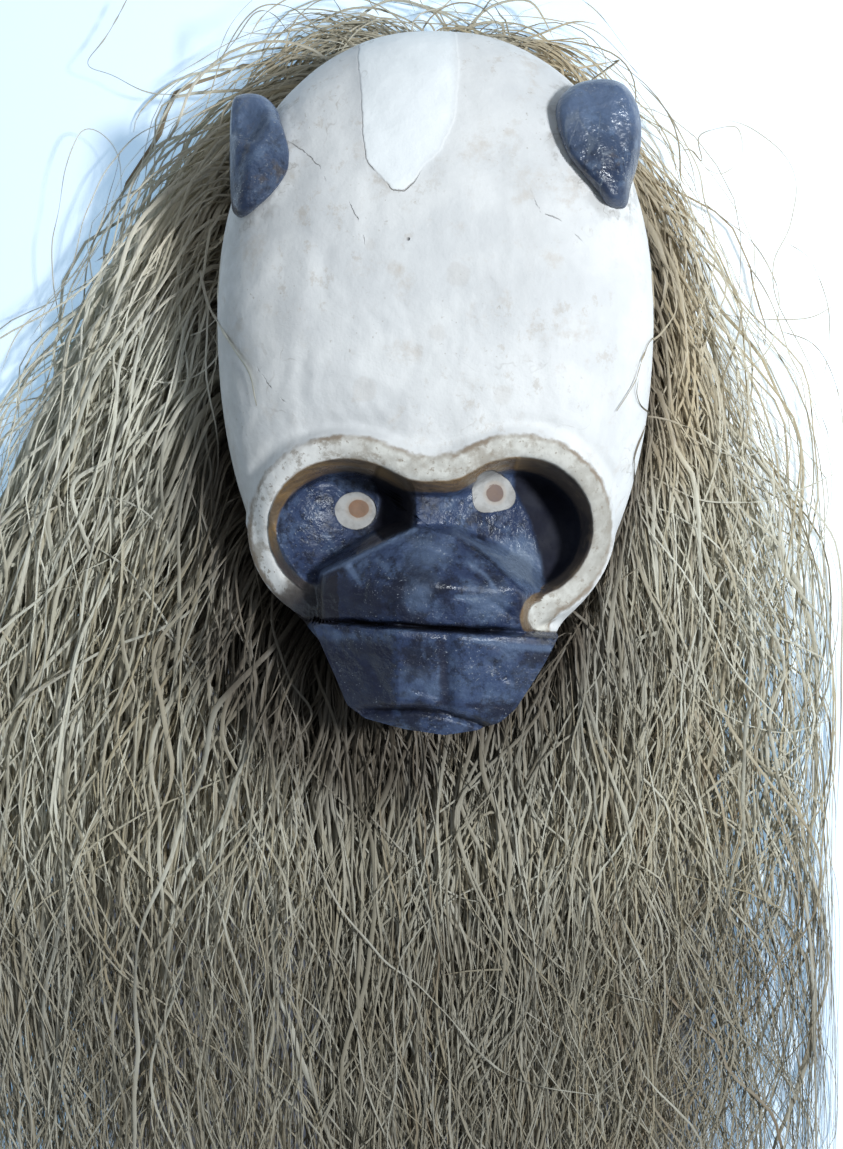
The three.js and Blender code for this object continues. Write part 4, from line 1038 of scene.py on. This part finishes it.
    # eyes
    eye, pupil = k.add(k.attr("eye_s"), k.mul(wob, 0.7)), k.add(k.attr("pupil_s"), k.mul(wob, 0.6))
    right = k.ramp(xyz.outputs["X"], 0.005, 0.015)
    eye_white = k.mix(k.ramp(mid, 0.4, 0.65), (0.50, 0.49, 0.47), (0.36, 0.345, 0.325))
    eye_white = k.mix(k.ramp(pupil, -2.2, -0.4, 0, 0.35), eye_white, (0.50, 0.38, 0.28))
    pupil_colour = k.mix(right, (0.32, 0.185, 0.115), (0.215, 0.155, 0.135))
    pupil_colour = k.mix(k.ramp(mid, 0.45, 0.6, 0, 0.5), pupil_colour, (0.25, 0.17, 0.125))
    eye_colour = k.mix(k.ramp(pupil, -0.25, 0.25), eye_white, pupil_colour)
    for x, y, z, r in ((19.2, -51.2, 75, 0.55), (27.3, -56.0, 74, 0.7), (30.6, -54.6, 75, 0.45)):
        eye_colour = k.mix(k.ramp(k.distance_to(x, y, z), r + 1.3, r + 0.6, 0, 0.7), eye_colour, (0.10, 0.06, 0.05))
    is_eye = k.ramp(eye, -0.25, 0.25)
    colour = k.mix(is_eye, colour, eye_colour)
    # bare wood behind
    grain = k.wave(90, 6.0, 4, k.mapped((1.0, 0.10, 1.0)))
    wood = k.mix(grain, (0.33, 0.215, 0.125), (0.22, 0.135, 0.075))
    wood = k.mix(k.ramp(k.noise(500, 3, 0.6, k.mapped((1.0, 0.06, 1.0))), 0.5, 0.7, 0, 0.6), wood, (0.13, 0.08, 0.045))
    wood = k.mix(k.ramp(broad, 0.4, 0.65, 0, 0.5), wood, (0.40, 0.29, 0.19))
    bare = k.ramp(k.add(k.attr("inside"), k.mul(wob, 0.5)), 0.22, 0.34)
    colour = k.mix(bare, colour, wood)
    dark = k.mul(k.sub(1.0, is_light), k.sub(1.0, is_eye))
    rough = k.add(0.70, k.mul(k.sub(mid, 0.5), 0.25))
    gloss = k.add(k.add(k.ramp(k.noise(70, 4), 0.38, 0.66, 0.26, 0.52), k.mul(dust_and_glints, 0.2)), k.mul(painted_shadow, 0.5))
    rough = k.add(k.mul(rough, k.sub(1.0, dark)), k.mul(gloss, dark))
    rough = k.add(k.mul(rough, k.sub(1.0, bare)), k.mul(0.8, bare))
    # relief, in millimetres
    plaster = k.add(k.mul(k.noise(60, 5, 0.62), 0.9), k.mul(k.noise(420, 2, 0.6), 0.10))
    plaster = k.add(plaster, k.mul(k.ramp(patch, -0.5, 0.6), 0.20))
    plaster = k.sub(plaster, k.mul(k.most(k.mul(patch_crack, tip), crack), 0.55))
    plaster = k.sub(plaster, k.mul(dot, 0.8))
    chisel = k.mul(k.noise(90, 3, 0.5, k.mapped((1.0, 1.6, 1.0))), 1.35)
    paint = k.add(chisel, k.add(k.mul(k.noise(260, 4, 0.62), 0.80), k.mul(k.noise(1100, 1), 0.06)))
    gouges = k.mul(k.noise(70, 3, 0.5, k.mapped((1.0, 0.35, 1.0))), 1.6)
    paint = k.mul(paint, k.sub(1.0, k.mul(painted_shadow, 0.8)))
    height = k.add(k.mul(plaster, k.sub(1.0, dark)), k.mul(paint, dark))
    height = k.add(k.mul(height, k.sub(1.0, bare)), k.mul(gouges, bare))
    return k.finish(colour, rough, height)


def ear_material():
    k = Nodes("dark_painted_wood", Specular_IOR_Level=0.5)
    broad, mid = k.noise(38, 4), k.noise(170, 4)
    blue = k.mix(k.ramp(broad, 0.38, 0.62), (0.024, 0.038, 0.076), (0.052, 0.079, 0.145))
    blue = k.mix(k.ramp(k.noise(120, 5, 0.7), 0.5, 0.68, 0, 0.85), blue, (0.110, 0.158, 0.245))
    blue = k.mix(k.ramp(k.noise(210, 5, 0.7, k.mapped(move=(1, 7, 2))), 0.50, 0.66, 0, 0.75), blue, (0.012, 0.014, 0.022))
    warm = k.mul(k.ramp(k.noise(60, 5, 0.7, k.mapped(move=(4, 1, 1))), 0.52, 0.64), k.ramp(mid, 0.42, 0.58))
    blue = k.mix(k.mul(warm, 0.7), blue, (0.105, 0.082, 0.064))
    xyz = k.tree.nodes.new("ShaderNodeSeparateXYZ")
    k.put(xyz.inputs[0], k.where)
    # painted light and shade: lighter blue towards the ears' upper ends, darker towards their lower ends
    blue = k.mix(k.ramp(xyz.outputs["Y"], 0.222, 0.256, 0, 0.55), blue, (0.150, 0.210, 0.330))
    blue = k.mix(k.ramp(xyz.outputs["Y"], 0.240, 0.215, 0, 0.35), blue, (0.030, 0.042, 0.080))
    scratch = k.cells(95, "DISTANCE_TO_EDGE", k.mapped((1.0, 0.35, 1.0), (0, 0, 0.7)))
    scratches = k.mul(k.ramp(scratch, 0.03, 0.008), k.ramp(k.noise(45, 2, 0.5, k.mapped(move=(2, 6, 1))), 0.50, 0.62))
    blue = k.mix(k.mul(scratches, 0.5), blue, (0.16, 0.19, 0.23))
    # light specks: dust, and painted glints
    dust_and_glints = k.mul(k.ramp(k.noise(1000, 2, 0.6), 0.62, 0.70), k.ramp(k.noise(70, 3), 0.46, 0.62))
    blue = k.mix(k.mul(dust_and_glints, 0.8), blue, (0.36, 0.37, 0.38))
    rough = k.ramp(k.noise(80, 4), 0.38, 0.66, 0.26, 0.50)
    height = k.add(k.mul(k.noise(110, 3, 0.5), 1.1), k.mul(k.noise(300, 3, 0.65), 0.62))
    return k.finish(blue, rough, height)


def fibre_material():
    k = Nodes("palm_fibre", Specular_IOR_Level=0.35)
    tone = k.add(k.attr("tone"), k.mul(k.sub(k.noise(38, 2, 0.6), 0.5), 0.5))
    colour = k.mix(k.ramp(tone, 0.05, 0.42), (0.300, 0.222, 0.138), (0.485, 0.440, 0.328))
    colour = k.mix(k.ramp(k.attr("hue"), 0.5, 1.0, 0, 0.55), colour, (0.55, 0.445, 0.26))
    colour = k.mix(k.ramp(tone, 0.40, 0.88), colour, (0.705, 0.680, 0.565))
    colour = k.mix(k.ramp(tone, 0.95, 1.4), colour, (0.81, 0.78, 0.67))
    colour = k.mix(k.ramp(k.attr("warm"), 0, 1, 0, 0.6, False), colour, (0.66, 0.52, 0.32))
    # painted shade at the roots, where the fibre runs in under the mask's edge
    colour = k.mix(k.ramp(k.attr("along"), 70, 0, 0, 0.45), colour, (0.19, 0.135, 0.088))
    # painted shade near the head and under the chin, and darker towards the lower ends of the fibre
    colour = k.mix(k.ramp(k.attr("painted_shade"), 0, 1, 0, 0.88, False), colour, (0.090, 0.070, 0.052))
    stripe = k.noise(900, 1, 0.5, k.mapped((1.0, 0.10, 1.0)))
    colour = k.mix(k.ramp(stripe, 0.52, 0.74, 0, 0.4), colour, (0.28, 0.235, 0.18))
    return k.finish(colour, k.ramp(k.noise(120, 1), 0.35, 0.65, 0.42, 0.66), k.mul(stripe, 0.12))


def floor_material():
    """A pale floor with a little glow of its own, with painted light and shade in it: least glow and a darker colour
    under the fibre, a cool glow round the mask that sets the colour of the shadows there, a brighter glow to its right
    and above, plain and bright further off.
    """
    k = Nodes("floor", Specular_IOR_Level=0.2, Roughness=0.8)
    near = k.tree.nodes.new("ShaderNodeVectorMath")
    near.operation = "LENGTH"
    k.put(near.inputs[0], k.mapped((1 / 0.170, 1 / 0.285, 0.0), move=(0.0, 0.11 / 0.285, 0.0)))
    far = k.tree.nodes.new("ShaderNodeVectorMath")
    far.operation = "LENGTH"
    k.put(far.inputs[0], k.where)
    side = k.tree.nodes.new("ShaderNodeSeparateXYZ")
    k.put(side.inputs[0], k.where)
    above_hem = k.ramp(side.outputs["Y"], -0.305, -0.255)
    # painted shade: the glow is least under the fibre; round the mask it is cool blue, which sets the colour of the
    # shadows there
    glow = k.mix(k.mul(k.ramp(near.outputs["Value"], 1.02, 0.78), above_hem), (0.19, 0.33, 0.50), (0.065, 0.075, 0.10))
    # painted light: a brighter glow to the right of and above the mask
    glow = k.mix(k.mul(k.ramp(side.outputs["X"], 0.085, 0.150), k.ramp(side.outputs["Y"], -0.02, 0.10)), glow, (0.42, 0.50, 0.57))
    glow = k.mix(k.ramp(far.outputs["Value"], 0.42, 1.5), glow, (0.66, 0.72, 0.77))
    k.put(k.bsdf.inputs["Emission Color"], glow)
    k.bsdf.inputs["Emission Strength"].default_value = 1.0
    pale = k.mix(k.noise(3, 2), (0.86, 0.89, 0.90), (0.84, 0.875, 0.89))
    # painted shade: the floor's own colour is darker under the fibre
    return k.finish(k.mix(k.mul(k.ramp(near.outputs["Value"], 0.92, 0.80), above_hem), pale, (0.30, 0.29, 0.27)))


# ---------------------------------------------------------------- the object
mask = build_mask()
mask.data.materials.append(mask_material())
dark = ear_material()
for ear_name in ("ear_left", "ear_right"):
    build_ear(ear_name).data.materials.append(dark)

STRAYS_LEFT = [
    (0.9, 0.35, [(-140, 185, 8), (-151, 166, 8), (-160, 152, 8), (-147, 146, 8), (-126, 138, 8), (-93, 139, 8)]),
    (0.7, 0.45, [(-175, 30, 8), (-177, 68, 8), (-171, 103, 8), (-164, 121, 8), (-153, 119, 8), (-145, 105, 8), (-147, 77, 8)]),
    (0.9, 0.70, [(-194, 1, 14), (-174, 25, 14), (-151, 43, 14), (-127, 57, 14), (-107, 61, 14), (-95, 71, 14)]),
    (1.7, 0.55, [(-103, 50, 58), (-101, 43, 60), (-97.4, 32, 60), (-90.5, 20, 60), (-83.7, 9.5, 62), (-76.8, -1, 64), (-73.8, -14.5, 66)]),
    (1.1, 0.75, [(-112, -17, 40), (-110, -37, 40), (-105, -56, 40), (-100, -64, 40), (-96, -60, 40), (-95, -53, 40), (-100, -51, 40), (-104, -60, 40), (-102, -73, 40)]),
    (0.8, 0.80, [(-85, -49, 46), (-95, -54, 46), (-102, -63, 46), (-106, -76, 46), (-105, -91, 46)]),
    (1.6, 0.85, [(-187, -141, 36), (-167, -128, 36), (-142, -116, 36), (-118, -106, 36), (-99, -89, 36)]),
    (1.3, 0.80, [(-129, -100, 34), (-113, -118, 34), (-99, -136, 34), (-90, -154, 34), (-78, -182, 34)]),
    (0.9, 0.60, [(-145, 112, 20), (-154, 75, 20), (-172, 47, 20), (-191, 29, 20), (-200, 9, 20)]),
    (1.0, 0.70, [(-155, 59, 26), (-139, 66, 26), (-123, 59, 26), (-114, 41, 26), (-115, 23, 26), (-126, 12, 26)]),
    (0.9, 0.85, [(-150, 38, 40), (-136, 26, 40), (-120, 20, 40), (-104, 22, 40), (-94, 34, 40), (-92, 50, 40)]),
    (1.1, 0.80, [(-118, 84, 40), (-122, 58, 40), (-114, 34, 40), (-110, 6, 40), (-116, -22, 40)]),
    (0.9, 0.75, [(-160, 20, 40), (-138, 8, 40), (-122, 2, 40), (-106, 4, 40), (-96, 14, 40), (-100, 26, 40)]),
    (1.2, 0.85, [(-98, 6, 40), (-104, -20, 40), (-120, -50, 40), (-142, -74, 40), (-160, -84, 40)]),
    (1.0, 0.80, [(-188, -62, 36), (-166, -52, 36), (-146, -50, 36), (-128, -58, 36), (-118, -74, 36), (-122, -96, 36)]),
    (1.3, 0.75, [(-176, -40, 36), (-158, -66, 36), (-130, -90, 36), (-112, -122, 36), (-106, -160, 36)]),
    (0.8, 0.60, [(-188, 25, 12), (-170, 53, 12), (-160, 86, 12), (-144, 114, 12), (-118, 128, 12), (-95, 135, 12)]),
]
STRAYS_RIGHT = [
    (0.6, 0.20, [(96, 132, 14), (115, 131, 14), (143, 126, 14), (162, 111, 14), (168, 95, 14), (166, 77, 14), (158, 60, 14), (159, 43, 14), (171, 20, 14), (181, -6, 14)]),
    (0.7, 0.25, [(112, 112, 18), (118, 112, 18), (123, 107, 18), (122, 118, 18), (130, 122, 18), (140, 122, 18), (142, 109, 18), (133, 101, 18), (124, 104, 18)]),
    (0.6, 0.20, [(164, 70, 16), (174, 62, 16), (182, 43, 16), (183, 24, 16), (179, 4, 16)]),
    (0.7, 0.25, [(122, 40, 20), (136, 35, 20), (156, 33, 20), (173, 34, 20), (185, 41, 20)]),
    (1.1, 0.70, [(92, 66, 56), (101, 53, 56), (106, 40, 56), (106, 31, 56), (99, 21, 58), (91, 15, 60), (86.5, 6, 62), (82, -5, 64), (74, -16, 66)]),
    (1.1, 0.75, [(85, -2, 62), (83.5, -9, 60), (87, -14, 58), (98, -15, 54), (111, -19, 52), (124, -26, 48), (138, -33, 40)]),
    (0.9, 0.80, [(93.5, 94, 44), (94, 68, 50), (92.5, 47, 54), (93.5, 24, 54)]),
    (0.9, 0.60, [(93, 141, 30), (108, 123, 30), (121, 95, 30), (128, 64, 30), (121, 36, 30), (112, 18, 30)]),
    (1.0, 0.70, [(100, 72, 32), (109, 54, 32), (108, 31, 32), (98, 18, 32), (93, -5, 32)]),
    (1.0, 0.80, [(97, 84, 30), (99, 62, 30), (108, 44, 30), (112, 22, 30), (104, 0, 30), (92, -22, 30)]),
    (0.9, 0.75, [(104, -12, 30), (122, -26, 30), (142, -30, 30), (158, -22, 30), (168, -4, 30)]),
    (1.0, 0.70, [(90, -20, 26), (84, -36, 26), (92, -52, 26), (110, -58, 26), (132, -74, 26), (150, -100, 26)]),
    (1.1, 0.75, [(150, -60, 26), (132, -84, 26), (118, -112, 26), (112, -150, 26), (122, -190, 26)]),
    (0.8, 0.50, [(139, 66, 18), (155, 43, 18), (165, 15, 18), (177, -8, 18), (185, -36, 18)]),
    (0.8, 0.50, [(123, 89, 18), (145, 71, 18), (159, 47, 18), (156, 24, 18), (143, 10, 18), (136, 22, 18)]),
    (0.7, 0.40, [(160, 29, 16), (176, 22, 16), (187, 1, 16), (189, -26, 16)]),
    (1.0, 0.60, [(93, -36, 22), (122, -50, 22), (150, -50, 22), (173, -43, 22), (188, -36, 22)]),
    (0.9, 0.50, [(95, -114, 18), (123, -142, 18), (155, -156, 18), (183, -152, 18)]),
]
STRAYS_BEARD = [
    (1.0, 0.80, [(-29, -193, 26), (-14, -210, 26), (2, -226, 26), (21, -233, 26), (39, -226, 26), (58, -217, 26), (80, -210, 26)]),
    (1.2, 0.80, [(-62, -195, 26), (-44, -234, 26), (-24, -258, 26), (2, -281, 26), (23, -305, 26), (44, -317, 26), (76, -323, 26)]),
    (1.0, 0.70, [(32, -215, 24), (35, -233, 24), (47, -254, 24), (71, -272, 24), (103, -281, 24)]),
    (0.9, 0.70, [(16, -169, 24), (9, -197, 24), (16, -224, 24), (39, -247, 24), (44, -274, 24), (30, -302, 24)]),
    (1.0, 0.75, [(-48, -159, 30), (-41, -182, 30), (-45, -209, 30), (-61, -234, 30), (-84, -255, 30)]),
    (0.8, 0.60, [(-7, -178, 22), (-16, -211, 22), (-34, -243, 22), (-39, -280, 22), (-25, -316, 22)]),
    (0.9, 0.70, [(57, -169, 24), (48, -197, 24), (30, -219, 24), (2, -238, 24), (-16, -261, 24), (-20, -297, 24)]),
]
STRAYS_CROWN = [
    (0.7, 0.30, [(95, 147, 14), (77, 160, 14), (58, 165, 14), (35, 167, 14), (17, 165, 14)]),
    (0.6, 0.25, [(-25, 165, 12), (-29, 173, 12), (-23, 180, 12), (-14, 177, 12), (-9, 168, 12)]),
    (0.7, 0.30, [(17, 163, 14), (27, 175, 14), (49, 179, 14), (72, 171, 14), (95, 152, 14)]),
    (0.9, 0.50, [(-39, 158, 16), (-45, 169, 16), (-54, 174, 16), (-66, 169, 16), (-77, 160, 16), (-85, 149, 16)]),
    (0.8, 0.45, [(-48, 153, 18), (-62, 165, 18), (-76, 166, 18), (-90, 157, 18), (-101, 141, 18), (-108, 121, 18)]),
    (0.7, 0.35, [(-62, 150, 14), (-71, 162, 14), (-80, 164, 14), (-90, 155, 14), (-99, 150, 14), (-92, 162, 14), (-80, 170, 14)]),
    (0.7, 0.40, [(-62, 176, 14), (-48, 180, 14), (-34, 177, 14), (-23, 169, 14)]),
    (0.6, 0.30, [(10, 167, 12), (5, 176, 12), (-3, 180, 12), (-7, 174, 12), (-2, 167, 12)]),
]
pieces = [
    mane("mane_left", "fringe_left", LEFT_GUIDES, 880, 12, 101, heights=(62, 14), reach=380, wilder=1.2, spread=1.1, width=(0.5, 2.8), inner=0.86, edge=0.6, calm=0.8, extra=STRAYS_LEFT),
    mane("mane_right", "fringe_right", RIGHT_GUIDES, 960, 13.3, 102, heights=(44, 13), reach=360, wilder=1.5, spread=1.35, width=(0.4, 2.1), inner=0.78, edge=0.35, calm=0.55, extra=STRAYS_RIGHT),
    mane("mane_beard", "fringe_beard", BEARD_GUIDES, 960, 9.5, 103, spread=1.1, heights=(38, 14), width=(0.5, 2.8), extra=STRAYS_BEARD),
    mane("mane_crown", "fringe_crown", CROWN_GUIDES, 330, 6.0, 104, heights=(26, 9), reach=200, spread=0.9, width=(0.5, 1.5), cut=(0.4, 1.0), wilder=1.4, extra=STRAYS_CROWN),
    mane("mane_left_low", "fringe_left", LEFT_GUIDES, 420, 40, 105, heights=(16, 8), reach=150, spread=0.7, width=(1.6, 4.0), cut=(0.10, 0.30), inner=0.75, under_layer_shade=0.9, edge=0.5),
    mane("mane_right_low", "fringe_right", RIGHT_GUIDES, 160, 40, 106, heights=(14, 8), reach=150, spread=0.7, width=(1.2, 3.4), cut=(0.1, 0.24), inner=0.7, under_layer_shade=0.6, edge=0.4),
    mane("mane_beard_low", "fringe_beard", BEARD_GUIDES, 380, 26, 107, heights=(16, 9), reach=150, spread=0.8, width=(1.6, 4.4), cut=(0.2, 0.6), under_layer_shade=0.9),
    mane("mane_left_mat", "fringe_left", LEFT_GUIDES, 260, 26, 108, heights=(9, 7), reach=200, width=(1.6, 4.0), cut=(0.72, 1.0), under_layer_shade=0.08),
    mane("mane_beard_mat", "fringe_beard", BEARD_GUIDES, 190, 20, 109, heights=(9, 7), reach=200, width=(1.6, 4.0), cut=(0.72, 1.0), under_layer_shade=0.08),
    mane("mane_right_mat", "fringe_right", RIGHT_GUIDES, 90, 26, 110, heights=(9, 7), reach=200, width=(1.2, 3.2), cut=(0.72, 1.0), inner=0.6, under_layer_shade=0.0),
]
fibre = fibre_material()
for piece in pieces:
    piece.data.materials.append(fibre)

floor_mesh = bpy.data.meshes.new("floor")
floor_mesh.from_pydata([(-15, -15, -0.0004), (15, -15, -0.0004), (15, 15, -0.0004), (-15, 15, -0.0004)], [], [(0, 1, 2, 3)])
floor = bpy.data.objects.new("floor", floor_mesh)
bpy.context.scene.collection.objects.link(floor)
floor.data.materials.append(floor_material())
